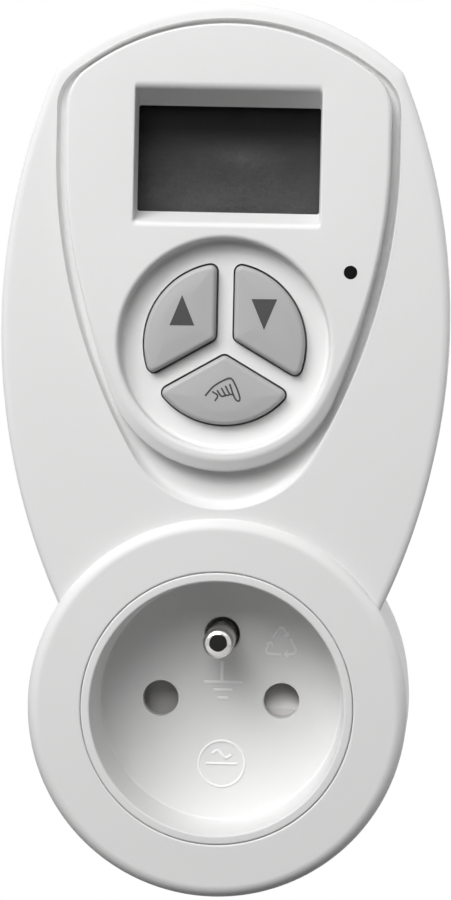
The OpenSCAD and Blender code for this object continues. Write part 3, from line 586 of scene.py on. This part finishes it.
def circuit_board(name, colour, track):
    """Circuit board: solder resist over faint tracks, with the weave of the glass cloth showing through."""
    material, tree, shader = new_material(name)
    where = tree.nodes.new("ShaderNodeTexCoord").outputs["Object"]
    tracks = tree.nodes.new("ShaderNodeTexBrick")
    tracks.inputs["Scale"].default_value = 220.0
    tracks.inputs["Mortar Size"].default_value = 0.06
    tracks.inputs["Color1"].default_value = colour
    tracks.inputs["Color2"].default_value = tuple(0.85 * c for c in colour[:3]) + (1.0,)
    tracks.inputs["Mortar"].default_value = track
    turn = tree.nodes.new("ShaderNodeMapping")
    turn.inputs["Rotation"].default_value = (math.pi / 2, 0, 0)
    tree.links.new(where, turn.inputs["Vector"])
    tree.links.new(turn.outputs["Vector"], tracks.inputs["Vector"])
    tree.links.new(tracks.outputs["Color"], shader.inputs["Base Color"])
    cloth = noise_on(tree, where, 1500.0, 3.0)
    tree.links.new(spread(tree, cloth, 0.3, 0.55), shader.inputs["Roughness"])
    raised(tree, shader, cloth, 0.2, 0.00003)
    return material


SOFT = {"Specular IOR Level": 0.25}
FINISHES = {
    "case_white": plastic("case white", grey(0.91, 0.001), grey(0.9, 0.001), 0.38, 0.52, 2600.0, 0.2, **SOFT),
    "cup_white": plastic(
        "cup white", grey(0.905, 0.001), grey(0.895, 0.001), 0.34, 0.46, 2600.0, 0.12, **SOFT
    ),
    "key_grey": plastic("key grey", grey(0.72), grey(0.70), 0.4, 0.55, 3200.0, 0.3, **SOFT),
    "nickel": metal("nickel plate", grey(0.86, 0.008), grey(0.8, 0.012), 0.08, 0.2),
    "brass": metal("brass strip", rgb(0.83, 0.68, 0.36), rgb(0.72, 0.55, 0.27), 0.15, 0.35),
    "steel": metal("zinc steel", grey(0.76), grey(0.66, 0.01), 0.18, 0.4),
    "pane_clear": glass_pane("clear pane"),
    "lcd_dark": display_cell("display cell"),
    "inner_white": plastic("inner white", grey(0.9, 0.006), grey(0.87, 0.008), 0.4, 0.6),
    "rubber_black": plastic("contact rubber", grey(0.14), grey(0.19), 0.6, 0.8, 4000.0, 0.4),
    "board_green": circuit_board("green board", rgb(0.08, 0.36, 0.2), rgb(0.12, 0.45, 0.26)),
    "board_tan": circuit_board("tan board", rgb(0.66, 0.5, 0.3), rgb(0.74, 0.58, 0.36)),
    "black_plastic": plastic("black plastic", grey(0.1), grey(0.13), 0.4, 0.6),
    "plunger_brown": plastic("plunger brown", rgb(0.36, 0.22, 0.13), rgb(0.41, 0.26, 0.16), 0.35, 0.5),
    "lens_dark": plastic("dark lens", grey(0.07), grey(0.1), 0.12, 0.22, 2000.0, 0.05),
    "led_red": plastic("red lamp", rgb(0.5, 0.06, 0.06), rgb(0.58, 0.1, 0.1), 0.15, 0.3),
    "bead_black": plastic("bead lacquer", grey(0.09), grey(0.14), 0.2, 0.4),
    "relay_blue": plastic("relay blue", rgb(0.12, 0.3, 0.62), rgb(0.15, 0.34, 0.66), 0.3, 0.45),
    "film_yellow": plastic("capacitor yellow", rgb(0.85, 0.68, 0.16), rgb(0.8, 0.62, 0.14), 0.3, 0.5),
    "can_navy": plastic("sleeve navy", rgb(0.1, 0.13, 0.3), rgb(0.13, 0.17, 0.36), 0.25, 0.4),
    "disc_orange": plastic("disc orange", rgb(0.8, 0.42, 0.12), rgb(0.72, 0.36, 0.1), 0.35, 0.55),
    "fuse_tan": plastic("fuse tan", rgb(0.75, 0.66, 0.5), rgb(0.7, 0.6, 0.45), 0.3, 0.5),
    "wire_brown": plastic("brown wire", rgb(0.35, 0.2, 0.12), rgb(0.4, 0.24, 0.15), 0.35, 0.5),
    "wire_black": plastic("black wire", grey(0.1), grey(0.14), 0.35, 0.5),
    "wire_blue": plastic("blue wire", rgb(0.2, 0.36, 0.62), rgb(0.24, 0.4, 0.66), 0.35, 0.5),
    "plate_silver": metal("bare plate", grey(0.84), grey(0.79), 0.3, 0.5),
}
# Painted highlight: the raised marks are moulded in the cup's white, and this paler white paints the light
# that their ribs catch
PAINTED_HIGHLIGHT_MARK = plastic("mark white painted highlight", grey(0.98), grey(0.96), 0.3, 0.45, 5000.0, 0.05)
PIN_END = metal("pin plate", grey(0.8, 0.006), grey(0.7, 0.01), 0.05, 0.12)
PRINT = plastic("print grey", grey(0.2), grey(0.24), 0.5, 0.65, 5000.0, 0.1)
CASE = FINISHES["case_white"]

for part in frame["record"]["subparts"]:
    mesh = nodes[part["node"]].data
    mesh.materials.clear()
    mesh.materials.append(FINISHES[part["material_slot"]])


# Front of the case


def meeting(centre_a, radius_a, centre_b, radius_b):
    """Point where two circles cross, on the left of the line from the first centre to the second."""
    step = np.asarray(centre_b) - centre_a
    far = np.hypot(*step)
    along = (radius_a ** 2 - radius_b ** 2 + far ** 2) / (2 * far)
    aside = math.sqrt(radius_a ** 2 - along ** 2)
    step = step / far
    return centre_a + along * step + aside * np.array([-step[1], step[0]])


def between(centre, start, end, count):
    """Circle points the short way from start to end, the end left off for the next stretch."""
    a = np.degrees(np.arctan2(*(start - centre)[::-1]))
    b = np.degrees(np.arctan2(*(end - centre)[::-1]))
    turn = (b - a + 180) % 360 - 180
    return arc(centre, np.hypot(*(start - centre)), a, a + turn, count + 1)[:-1]


def case_loop(side_in, top_in):
    """Case outline set in by two amounts: right side, top, left side and an arc hidden by the ring."""
    flip = np.array([-1.0, 1.0])
    low = meeting(SIDE_C, SIDE_R - side_in, np.zeros(2), HIDDEN_R)
    high = meeting(SIDE_C, SIDE_R - side_in, TOP_C, TOP_R - top_in)
    return np.concatenate([
        between(SIDE_C, low, high, 170),
        between(TOP_C, high, high * flip, 130),
        between(SIDE_C * flip, high * flip, low * flip, 170),
        between(np.zeros(2), low * flip, low, 130),
    ])


def face_loop(outline, inset):
    """Closed face outline: lower arc, bowed side, upper corner and top arc, all set in alike."""
    half, tip_y, tip_r, top_r = outline
    side = (half ** 2 + (BEND_Y - tip_y) ** 2 - tip_r ** 2) / (2 * (half - tip_r))
    low = math.degrees(math.atan2(tip_y - BEND_Y, side - half))
    corner_y = TOP_C[1] + math.sqrt((top_r - CORNER_R) ** 2 - (half - CORNER_R) ** 2)
    high = math.degrees(math.atan2(corner_y - TOP_C[1], half - CORNER_R))
    right = np.concatenate([
        arc((0, tip_y), tip_r - inset, -90, low, 400)[:-1],
        arc((half - side, BEND_Y), side - inset, low, 0, 400)[:-1],
        np.stack([np.full(100, half - inset), np.linspace(BEND_Y, corner_y, 100)], -1)[:-1],
        arc((half - CORNER_R, corner_y), CORNER_R - inset, 0, high, 300)[:-1],
        arc(TOP_C, top_r - inset, high, 90, 300),
    ])
    return np.concatenate([right, (right * (-1, 1))[-2:0:-1]])


def reach(loop, angles):
    """Distance from the face's hub to a loop along rays at the given angles."""
    arm = loop - HUB
    at = np.arctan2(arm[:, 1], arm[:, 0])
    order = np.argsort(at)
    return np.interp(angles, at[order], np.hypot(*arm.T)[order], period=2 * np.pi)


def edge_height(inset, edge):
    """Height of the case front at a distance inside its outline: a flattened quarter round, then flat."""
    reach_in = EDGE_SPAN * edge
    short = np.clip(1 - (inset - DRAFT) / reach_in, 0, 1)
    return FRONT_Z - edge + edge * np.sqrt(1 - short ** EDGE_POWER)


def front_height(plan):
    """Height of the case front at plan points: the lower of its side rounding and its top rounding."""
    side = SIDE_R - np.hypot(np.abs(plan[..., 0]) - SIDE_C[0], plan[..., 1] - WIDEST_Y)
    top = TOP_R - np.hypot(plan[..., 0], plan[..., 1] - TOP_C[1])
    top = np.where(plan[..., 1] > TOP_C[1], top, TOP_R)
    return np.minimum(edge_height(side, SIDE_EDGE), edge_height(top, TOP_EDGE))


def key_loop(heading, grow):
    """Key outline: a third of a disc between two webs, its corners rounded, grown by an amount."""
    core = np.array([0.0, (KEY_WEB / 2 + KEY_CORNER) / math.sin(math.radians(60))])
    edge = np.array([math.sin(math.radians(60)), math.cos(math.radians(60))])
    inner = KEY_R - KEY_CORNER
    along = core @ edge
    run = -along + math.sqrt(along ** 2 - core @ core + inner ** 2)
    right = core + run * edge
    turn = math.degrees(math.atan2(right[1], right[0]))
    round_r = KEY_CORNER + grow
    loop = np.concatenate([
        arc(right, round_r, -60, turn, 12)[:-1],
        arc((0, 0), KEY_R + grow, turn, 180 - turn, 60)[:-1],
        arc(right * (-1, 1), round_r, 180 - turn, 240, 12),
        arc(core, round_r, 240, 300, 12),
    ])
    a = math.radians(heading - 90)
    spin = np.array([[math.cos(a), math.sin(a)], [-math.sin(a), math.cos(a)]])
    return BOWL_C + loop @ spin


def box_loop(centre, half, radius):
    """Rectangle with rounded corners."""
    corners = ((1, 1, 0), (-1, 1, 90), (-1, -1, 180), (1, -1, 270))
    return centre + np.concatenate([
        arc((half - radius) * (x, y), radius, start, start + 90, 7) for x, y, start in corners
    ])


def case_front(skin):
    """Wall, rounded edge, flat front, valley and raised face as one grid of loops, seen from the hub."""
    loops = []
    heights = []
    wall = np.linspace(JOINT_Z + SEAM_UP, FRONT_Z - TOP_EDGE, 9)
    for z, seam in [(JOINT_Z, SEAM_IN)] + [(z, 0.0) for z in wall]:
        side = DRAFT * (z - JOINT_Z) / (FRONT_Z - SIDE_EDGE - JOINT_Z)
        top = DRAFT * (z - JOINT_Z) / (FRONT_Z - TOP_EDGE - JOINT_Z)
        loops.append(case_loop(side + seam, top + seam))
        heights.append(np.full(len(loops[-1]), z))
    outer = case_loop(DRAFT, DRAFT)
    arm = outer - HUB
    far = np.hypot(*arm.T)
    angles = np.arctan2(arm[:, 1], arm[:, 0])
    ray = arm / far[:, None]
    upper = smoothstep(outer[:, 1], *UPPER_Y)
    lip = reach(face_loop(FIELD, -LIP_OUT), angles) - LIP_IN_TOP * upper
    room = far - lip
    rounding = np.minimum(EDGE_SPAN * TOP_EDGE, 0.9 * room)
    inset = [rounding * (1 - math.cos(a)) for a in np.linspace(0.02, math.pi / 2, 16)]
    inset += [rounding + (room - rounding) * t for t in (0.03, 0.3, 0.65, 0.97, 1.0)]
    for step in inset:
        plan = HUB + ray * (far - step)[:, None]
        loops.append(plan)
        heights.append(front_height(plan))
    # Face edge, from its flat outwards: a quarter round at the sides, a bevel with a step round the bowl
    plain = reach(face_loop(FACE, 0), angles)
    full = reach(face_loop(FACE, 1.0), angles)
    low = 1 - smoothstep((HUB + ray * plain[:, None])[:, 1], *LOWER_Y)
    edge = FACE_EDGE + (FACE_EDGE_TOP - FACE_EDGE) * upper
    along = np.linspace(0, 1, 17)
    beside = [(edge * (math.sin(u * math.pi / 2) - 1), edge * (1 - math.cos(u * math.pi / 2))) for u in along]
    below = zip(np.interp(along, BEVEL_AT, BEVEL_OUT), np.interp(along, BEVEL_AT, BEVEL_DROP))
    rim = [(a + (c - a) * low, b + (d - b) * low) for (a, b), (c, d) in zip(beside, below)]
    foot = rim[-1][0] + FOOT_GAP
    # Groove or valley: falls from the lip to the foot of the face, with a nearly flat floor below the bowl
    # out is the way along each ray for one millimetre across the edge
    out = plain - full
    foot_r = plain + out * foot
    run = lip - foot_r
    wide = smoothstep(lip - plain, *VALLEY_WIDTH)
    soft = GROOVE_SOFT + (GROOVE_SOFT_TOP - GROOVE_SOFT) * upper
    top_z = heights[-1]
    for t in np.linspace(0, 1, 25)[1:] ** 1.3:
        s = run * t
        groove = GROOVE_DEPTH * (1 - np.exp(-(s / soft) ** 2))
        valley = VALLEY_DEPTH * (1 - np.exp(-(s / VALLEY_SOFT) ** 2)) + VALLEY_FALL * t
        loops.append(HUB + ray * (lip - s)[:, None])
        heights.append(top_z - groove - (valley - groove) * wide)
    base = heights[-1]
    for t in (0.2, 0.55, 0.9):
        loops.append(HUB + ray * (foot_r + out * (rim[-1][0] - foot) * t)[:, None])
        heights.append(base + (FACE_Z - rim[-1][1] - base) * t)
    for offset, drop in rim[::-1]:
        loops.append(HUB + ray * (plain + out * offset)[:, None])
        heights.append(FACE_Z - drop)
    loops.append(HUB + ray * (plain + out * (rim[0][0] - STRIP))[:, None])
    heights.append(np.full(len(plain), FACE_Z))
    skin.rows(loops, heights)
    return loops[-1]


def quarter(start_r, start_z, reach_r, reach_z, count, convex=True):
    """Quarter-round profile from one radius and height to another."""
    a = np.linspace(0, math.pi / 2, count)
    u, w = (np.sin(a), 1 - np.cos(a)) if convex else (1 - np.cos(a), np.sin(a))
    return list(zip(start_r + reach_r * u, start_z + reach_z * w))


def key_bowl(skin):
    """Round bowl: rim rounding, an upright wall, a rounded foot and a floor with three key openings."""
    wall_r = BOWL_R - BOWL_RIM
    profile = [(BOWL_R + RIM_STRIP, FACE_Z)] + quarter(BOWL_R, FACE_Z, -BOWL_RIM, -BOWL_RIM, 12)
    cove = arc((wall_r - BOWL_LEAN - BOWL_FOOT, BOWL_Z + BOWL_FOOT), BOWL_FOOT, 0, -90, 12)
    profile += [(r, z) for r, z in cove] + [(wall_r - BOWL_FOOT - 0.2, BOWL_Z)]
    skin.turned(BOWL_C, profile, 192)
    openings = [key_loop(h, KEY_PLAY) for h in HEADINGS.values()]
    skin.sheet(circle(BOWL_C, profile[-1][0], 192), openings, BOWL_Z)
    for loop in openings:
        skin.rows([loop[::-1], loop[::-1]], [CEILING_Z, BOWL_Z])


def wall_inset(depth, radius, slope):
    """How far a window wall has come in at a depth: a round edge that runs out into a straight slope."""
    turn = math.radians(slope)
    end = radius * (1 - math.cos(turn))
    rounded = np.sqrt(np.clip(2 * radius * depth - depth ** 2, 0, None))
    sloped = radius * math.sin(turn) + (depth - end) / math.tan(turn)
    return np.where(depth < end, rounded, sloped)


def window_well(skin):
    """Sunk window: four walls with rounded edges that close in on the pane as they go down."""
    depth = (FACE_Z - PANE_Z) * np.linspace(0, 1, 24) ** 2.2
    top, bottom, side = (wall_inset(depth, *wall) for wall in (TOP_WALL, BOTTOM_WALL, SIDE_WALL))
    loops = []
    for up, down, aside in zip(top[-1] - top, bottom[-1] - bottom, side[-1] - side):
        centre = WINDOW_C + (0, (up - down) / 2)
        corner = WELL_CORNER + WELL_CORNER_GROWTH * aside
        loops.append(box_loop(centre, VIEW + (aside, (up + down) / 2), corner))
    skin.rows(loops, FACE_Z - depth)
    return loops[0]


def socket_ring(skin):
    """Ring round the socket: leaning wall, rounded front edge, flat rim and inner wall."""
    base = JOINT_Z + SEAM_UP
    foot = [(RING_R - SEAM_IN, JOINT_Z), (RING_R, base)]
    high = RING_Z - RING_EDGE
    flat_r = RING_R - DRAFT - RING_EDGE
    wall = [(RING_R - DRAFT * t, base + (high - base) * t) for t in (0.3, 0.6, 0.9)]
    edge = arc((flat_r, high), RING_EDGE, 0, 90, 28)
    inner = CUP_R + CUP_PLAY
    rim = [(flat_r - WIDE_STRIP, RING_Z), (inner + RING_TURN + STRIP, RING_Z)]
    turn = quarter(inner + RING_TURN, RING_Z, -RING_TURN, -RING_TURN, 6)
    skin.turned((0, 0), foot + wall + [tuple(p) for p in edge] + rim + turn + [(inner, RECESS_Z + 2)], 216)


shell = Skin()
face_rim = case_front(shell)
key_bowl(shell)
mouth = window_well(shell)
lens_hole = circle(DOT_C, DOT_R + DOT_PLAY, 40)
shell.sheet(face_rim, [circle(BOWL_C, BOWL_R + RIM_STRIP, 192), mouth, lens_hole], FACE_Z)
shell.rows([lens_hole, lens_hole], [FACE_Z, FACE_Z - DOT_DEPTH])
socket_ring(shell)
make_piece("front_cover", shell, "case", CASE, ("front_shell",))
smoothed_copy("rear_shell", "case", CASE, REAR_TURN)

# Spring behind the shutter
spring = smoothed_copy("shutter_spring", "case", FINISHES["steel"], SPRING_TURN)
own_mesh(spring)


# Socket cup


def socket_cup():
    """Cup of the socket: flat rim, tapered wall, rounded foot and a floor with three holes."""
    skin = Skin()
    low = RECESS_R - RECESS_TAPER
    high_z = RING_Z - RECESS_EDGE
    low_z = RECESS_Z + RECESS_FOOT
    floor_r = low - RECESS_FOOT - WIDE_STRIP
    profile = [(CUP_R, RECESS_Z + 2), (CUP_R, RING_Z - CUP_EDGE)]
    profile += quarter(CUP_R, RING_Z - CUP_EDGE, -CUP_EDGE, CUP_EDGE, 5, convex=False)
    profile += [(CUP_R - CUP_EDGE - STRIP, RING_Z), (RECESS_R + RECESS_EDGE + RIM_STRIP, RING_Z)]
    profile += quarter(RECESS_R + RECESS_EDGE, RING_Z, -RECESS_EDGE, -RECESS_EDGE, 6)
    profile += [(RECESS_R - RECESS_TAPER * t, high_z + (low_z - high_z) * t) for t in (0.3, 0.6, 0.99)]
    profile += [(r, z) for r, z in arc((low - RECESS_FOOT, low_z), RECESS_FOOT, 0, -90, 9)]
    profile += [(floor_r, RECESS_Z)]
    skin.turned((0, 0), profile, 216)
    holes = []
    for centre, r in (((-PIN_X, 0), HOLE_R), ((PIN_X, 0), HOLE_R), ((0, EARTH_HOLE_Y), EARTH_HOLE_R)):
        turn = quarter(r + HOLE_EDGE, RECESS_Z, -HOLE_EDGE, -HOLE_EDGE, 5)
        mouth_r = r + HOLE_EDGE + HOLE_STRIP
        skin.turned(centre, [(mouth_r, RECESS_Z)] + turn + [(r, CUP_BACK_Z)], 64)
        holes.append(circle(centre, mouth_r, 64))
    skin.sheet(circle((0, 0), floor_r, 216), holes, RECESS_Z)
    make_piece("socket_cup", skin, "case", FINISHES["cup_white"], ("socket_insert",))


def earth_pin_piece():
    """Earth pin: round nose with a small flat end, plain stem, and its foot under the cup."""
    skin = Skin()
    tail_r, tail_z = EARTH_TAIL
    collar_r, collar_z = EARTH_COLLAR
    nose = arc((PIN_R - PIN_NOSE, EARTH_TIP - PIN_NOSE), PIN_NOSE, 0, 90, 14)
    profile = [(0.0, tail_z), (tail_r, tail_z), (tail_r, collar_z), (collar_r, collar_z)]
    profile += [(collar_r, CUP_BACK_Z), (EARTH_NECK_R, CUP_BACK_Z), (EARTH_NECK_R, RECESS_Z)]
    profile += [(PIN_R, RECESS_Z), (PIN_R, EARTH_TIP - PIN_NOSE - WIDE_STRIP)] + [tuple(p) for p in nose]
    profile += [(PIN_R - PIN_NOSE - WIDE_STRIP, EARTH_TIP), (0.0, EARTH_TIP)]
    skin.turned((0, EARTH_Y), profile, 72)
    make_piece("earth_contact", skin, "case", PIN_END, ("earth_pin",))


def raised_band(skin, path, rib, closed=False):
    """Low moulded rib on the cup's floor: a rounded section carried along a path, its ends tapered off."""
    width, height = rib
    if closed:
        step = np.roll(path, -1, axis=0) - np.roll(path, 1, axis=0)
    else:
        step = np.gradient(path, axis=0)
    side = np.stack([-step[:, 1], step[:, 0]], -1) / np.hypot(*step.T)[:, None]
    a = np.linspace(-1, 1, 9)
    up = height * np.sqrt(np.clip(1 - a ** 4, 0, 1))
    end = np.ones(len(path))
    if not closed:
        end[[0, -1]] = 0.0
    rows = [lift(path + side * (-k * width / 2), RECESS_Z - RIB_SINK + h * end) for k, h in zip(a, up)]
    skin.grid(np.stack(rows), loop=closed)


def straight(start, end):
    """Points along a straight line, bunched at its ends."""
    t = (1 - np.cos(np.linspace(0, math.pi, 12))) / 2
    return np.asarray(start, float) + np.outer(t, np.subtract(end, start))


def bent(points):
    """Smooth path through a few points: each stretch is a cubic that keeps its neighbours' direction."""
    p = np.asarray(points, float)
    p = np.concatenate([2 * p[:1] - p[1:2], p, 2 * p[-1:] - p[-2:-1]])
    t = np.linspace(0, 1, 14)[:-1, None]
    runs = []
    for a, b, c, d in zip(p[:-3], p[1:-2], p[2:-1], p[3:]):
        runs.append(b + t * ((c - a) + t * ((2 * a - 5 * b + 4 * c - d) + t * (3 * b - a - 3 * c + d))) / 2)
    return np.concatenate(runs + [p[-2:-1]])


def cup_marks():
    """Moulded marks on the cup's floor: the earth sign, and a plain ring with a bar and a wave in it."""
    skin = Skin()
    raised_band(skin, straight((0.1, 6.1), (0.1, 2.7)), EARTH_RIB)
    for y, half in ((2.75, 3.1), (1.5, 1.5), (0.25, 0.85)):
        raised_band(skin, straight((0.25 - half, y), (0.25 + half, y)), EARTH_RIB)
    middle = np.array([0.3, -10.1])
    raised_band(skin, circle(middle, 3.6, 72), RING_RIB, closed=True)
    raised_band(skin, straight(middle - (2.5, 0), middle + (2.5, 0)), RING_RIB)
    t = np.linspace(0, 1, 40)
    wave = np.stack([3 * t - 1.5, 1.5 + 0.55 * np.sin(2 * np.pi * t)], -1)
    raised_band(skin, middle + wave, WAVE_RIB)
    make_piece("cup_marks", skin, "case", PAINTED_HIGHLIGHT_MARK)


def recycling_mark():
    """Three bent arrows chasing round a triangle, each a rib with two barbs, moulded on the cup's floor."""
    skin = Skin()
    centre = np.array([9.3, 9.0])
    bend = [(-1.5, 0.75), (-0.6, 2.2), (-0.25, 2.55), (0.2, 2.55), (0.55, 2.2), (1.05, 1.35)]
    for k in range(3):
        a = math.radians(120 * k)
        spin = np.array([[math.cos(a), math.sin(a)], [-math.sin(a), math.cos(a)]])
        raised_band(skin, centre + bent(bend) @ spin, ARROW_RIB)
        for barb in ((0.3, 1.4), (1.15, 2.05)):
            raised_band(skin, centre + straight((1.1, 1.25), barb) @ spin, BARB_RIB)
    make_piece("recycling_mark", skin, "case", PAINTED_HIGHLIGHT_MARK)


socket_cup()
earth_pin_piece()
cup_marks()
recycling_mark()


# Keys


def key_cap(name, heading):
    """Key: flange, upright wall, rounded edge, then rings that shrink to the middle over a faint crown."""
    skin = Skin()
    flange_top = KEY_FOOT + KEY_FLANGE_T
    wall_top = KEY_TOP - KEY_CROWN - KEY_EDGE
    loops = [key_loop(heading, grow) for grow in (KEY_FLANGE, KEY_FLANGE, 0, 0)]
    heights = [KEY_FOOT, flange_top, flange_top, wall_top]
    for a in np.linspace(0, math.pi / 2, 12)[1:]:
        loops.append(key_loop(heading, -KEY_EDGE * (1 - math.cos(a))))
        heights.append(wall_top + KEY_EDGE * math.sin(a))
    last = loops[-1]
    middle = last.mean(axis=0)
    for f in (0.97, 0.9, 0.8, 0.68, 0.55, 0.4, 0.2, 0.0):
        loops.append(middle + (last - middle) * f)
        heights.append(KEY_TOP - KEY_CROWN * smoothstep(f, 0.45, 1.25) / smoothstep(1.0, 0.45, 1.25))
    skin.rows(loops, heights)
    make_piece(name + "_cap", skin, name + "_press", FINISHES["key_grey"], (name,))


def key_sign(name, loops):
    """Printed sign that rides on its key: flat loops filled in just above it."""
    skin = Skin()
    for loop in loops:
        skin.sheet(np.asarray(loop, float), [], KEY_TOP + SIGN_LIFT)
    make_piece(name + "_sign", skin, name + "_press", PRINT)


def stroke(path, width):
    """Loop round a drawn stroke: its left side, a round end, its right side and the other round end."""
    path = np.asarray(path, float)
    step = np.gradient(path, axis=0)
    side = np.stack([-step[:, 1], step[:, 0]], -1) / np.hypot(*step.T)[:, None] * width / 2
    aim = np.degrees(np.arctan2(step[:, 1], step[:, 0]))
    return np.concatenate([
        path - side,
        arc(path[-1], width / 2, aim[-1] - 90, aim[-1] + 90, 9)[1:-1],
        (path + side)[::-1],
        arc(path[0], width / 2, aim[0] + 90, aim[0] + 270, 9)[1:-1],
    ])


def hand_sign():
    """Hand of plain strokes: its back and pointing finger in one, three folded fingers and a thumb."""
    lines = [
        [(-2.7, 48.25), (-1.5, 49.65), (0.1, 50.65), (1.2, 50.9), (2.0, 49.6), (2.55, 48.1), (2.45, 47.5),
         (1.95, 47.7), (1.5, 48.6), (1.0, 50.0)],
        [(0.35, 49.7), (0.95, 48.6), (1.4, 48.45)],
        [(-0.25, 49.35), (0.35, 48.4), (0.85, 48.35)],
        [(-0.9, 49.0), (-0.3, 48.2), (0.3, 48.25)],
        [(-1.6, 48.8), (-0.85, 48.25), (-1.2, 47.5)],
    ]
    return [stroke(bent(line), HAND_STROKE) for line in lines]


for key, heading in HEADINGS.items():
    key_cap(key, heading)
key_sign("up_key", [[(-8.5, 58.9), (-4.65, 58.95), (-6.62, 63.6)]])
key_sign("down_key", [[(4.05, 63.2), (6.07, 58.47), (8.0, 63.25)]])
key_sign("manual_key", hand_sign())


# Camera, light and floor


def aim_at(obj, target, roll=0.0):
    """Turns a camera or lamp so that it looks at a point, with its top towards +Z, then rolls it."""
    look = (Vector(target) - obj.location).to_track_quat("-Z", "Y")
    obj.rotation_euler = look.to_euler()
    obj.rotation_euler.rotate_axis("Z", roll)


def place_camera():
    """Camera at the photograph's angle, with the frame's long side on its sensor."""
    data = bpy.data.cameras.new("photo camera")
    data.sensor_fit = "VERTICAL"
    data.sensor_height = 36.0
    data.lens = CAMERA_LENS
    data.clip_end = 20.0
    camera = bpy.data.objects.new("photo_camera", data)
    bpy.context.scene.collection.objects.link(camera)
    azimuth, rise, roll = (math.radians(a) for a in CAMERA_TURN)
    away = Vector((math.sin(azimuth) * math.cos(rise), -math.cos(azimuth) * math.cos(rise), math.sin(rise)))
    camera.location = Vector(CAMERA_AIM) + CAMERA_FAR * away
    aim_at(camera, CAMERA_AIM, roll)
    bpy.context.scene.camera = camera


def softbox(name, place, power):
    """Square lamp that shines on the object."""
    data = bpy.data.lights.new(name, "AREA")
    data.size = LAMP_SIZE
    data.energy = power
    lamp = bpy.data.objects.new(name, data)
    bpy.context.scene.collection.objects.link(lamp)
    lamp.location = place
    lamp.visible_camera = False
    aim_at(lamp, LAMP_AIM)


def stage_card(name, corners, material):
    """Flat stage piece through four corners, cut into a fine grid by blending them."""
    t = np.linspace(0, 1, 9)
    u, w = t[None, :, None], t[:, None, None]
    a, b, c, d = np.array(corners)
    points = a * (1 - u) * (1 - w) + b * u * (1 - w) + c * u * w + d * (1 - u) * w
    quads = grid_quads(np.arange(t.size ** 2).reshape(t.size, t.size))
    mesh = bpy.data.meshes.new(name)
    mesh.from_pydata(points.reshape(-1, 3).tolist(), [], quads.tolist())
    mesh.materials.append(material)
    card = bpy.data.objects.new(name, mesh)
    bpy.context.scene.collection.objects.link(card)
    return card


def shown_rays(tree):
    """One for rays that show the backdrop, from the camera, a reflection or clear glass; else zero."""
    path = tree.nodes.new("ShaderNodeLightPath")
    factor = path.outputs["Is Camera Ray"]
    for name in ("Is Transmission Ray", "Is Glossy Ray"):
        either = tree.nodes.new("ShaderNodeMath")
        either.operation = "MAXIMUM"
        tree.links.new(factor, either.inputs[0])
        tree.links.new(path.outputs[name], either.inputs[1])
        factor = either.outputs["Value"]
    return factor


def light_world():
    """White backdrop for the camera and for reflections, and a plain grey light on the object."""
    world = bpy.data.worlds.new("studio")
    bpy.context.scene.world = world
    world.use_nodes = True
    tree = world.node_tree
    colour = mixed(tree, shown_rays(tree), (0.1, 0.1, 0.1, 1.0), (1.0, 1.0, 1.0, 1.0))
    tree.links.new(colour, tree.nodes["Background"].inputs["Color"])


def floor_paper():
    """Pale paper, faintly clouded, that throws little light back up at the object."""
    paper, tree, shader = new_material("floor paper")
    where = tree.nodes.new("ShaderNodeTexCoord").outputs["Object"]
    cloud = noise_on(tree, where, 30.0, 3.0)
    pale = mixed(tree, cloud, grey(0.96), grey(0.95))
    tree.links.new(mixed(tree, shown_rays(tree), grey(0.2), pale), shader.inputs["Base Color"])
    tree.links.new(spread(tree, cloud, 0.7, 0.8), shader.inputs["Roughness"])
    return paper


place_camera()
light_world()
for name, (place, power) in LAMPS.items():
    softbox(name, place, power)
stage_card("floor", FLOOR_CORNERS, floor_paper())
dark = plastic("dark cloth", grey(0.1), grey(0.13), 0.7, 0.9, 600.0, 0.1)
# The camera doesn't see the cloth itself, only its reflections
stage_card("camera_cloth", CLOTH_CORNERS, dark).visible_camera = False
bpy.context.scene.view_settings.view_transform = "Standard"

bpy.context.view_layer.update()
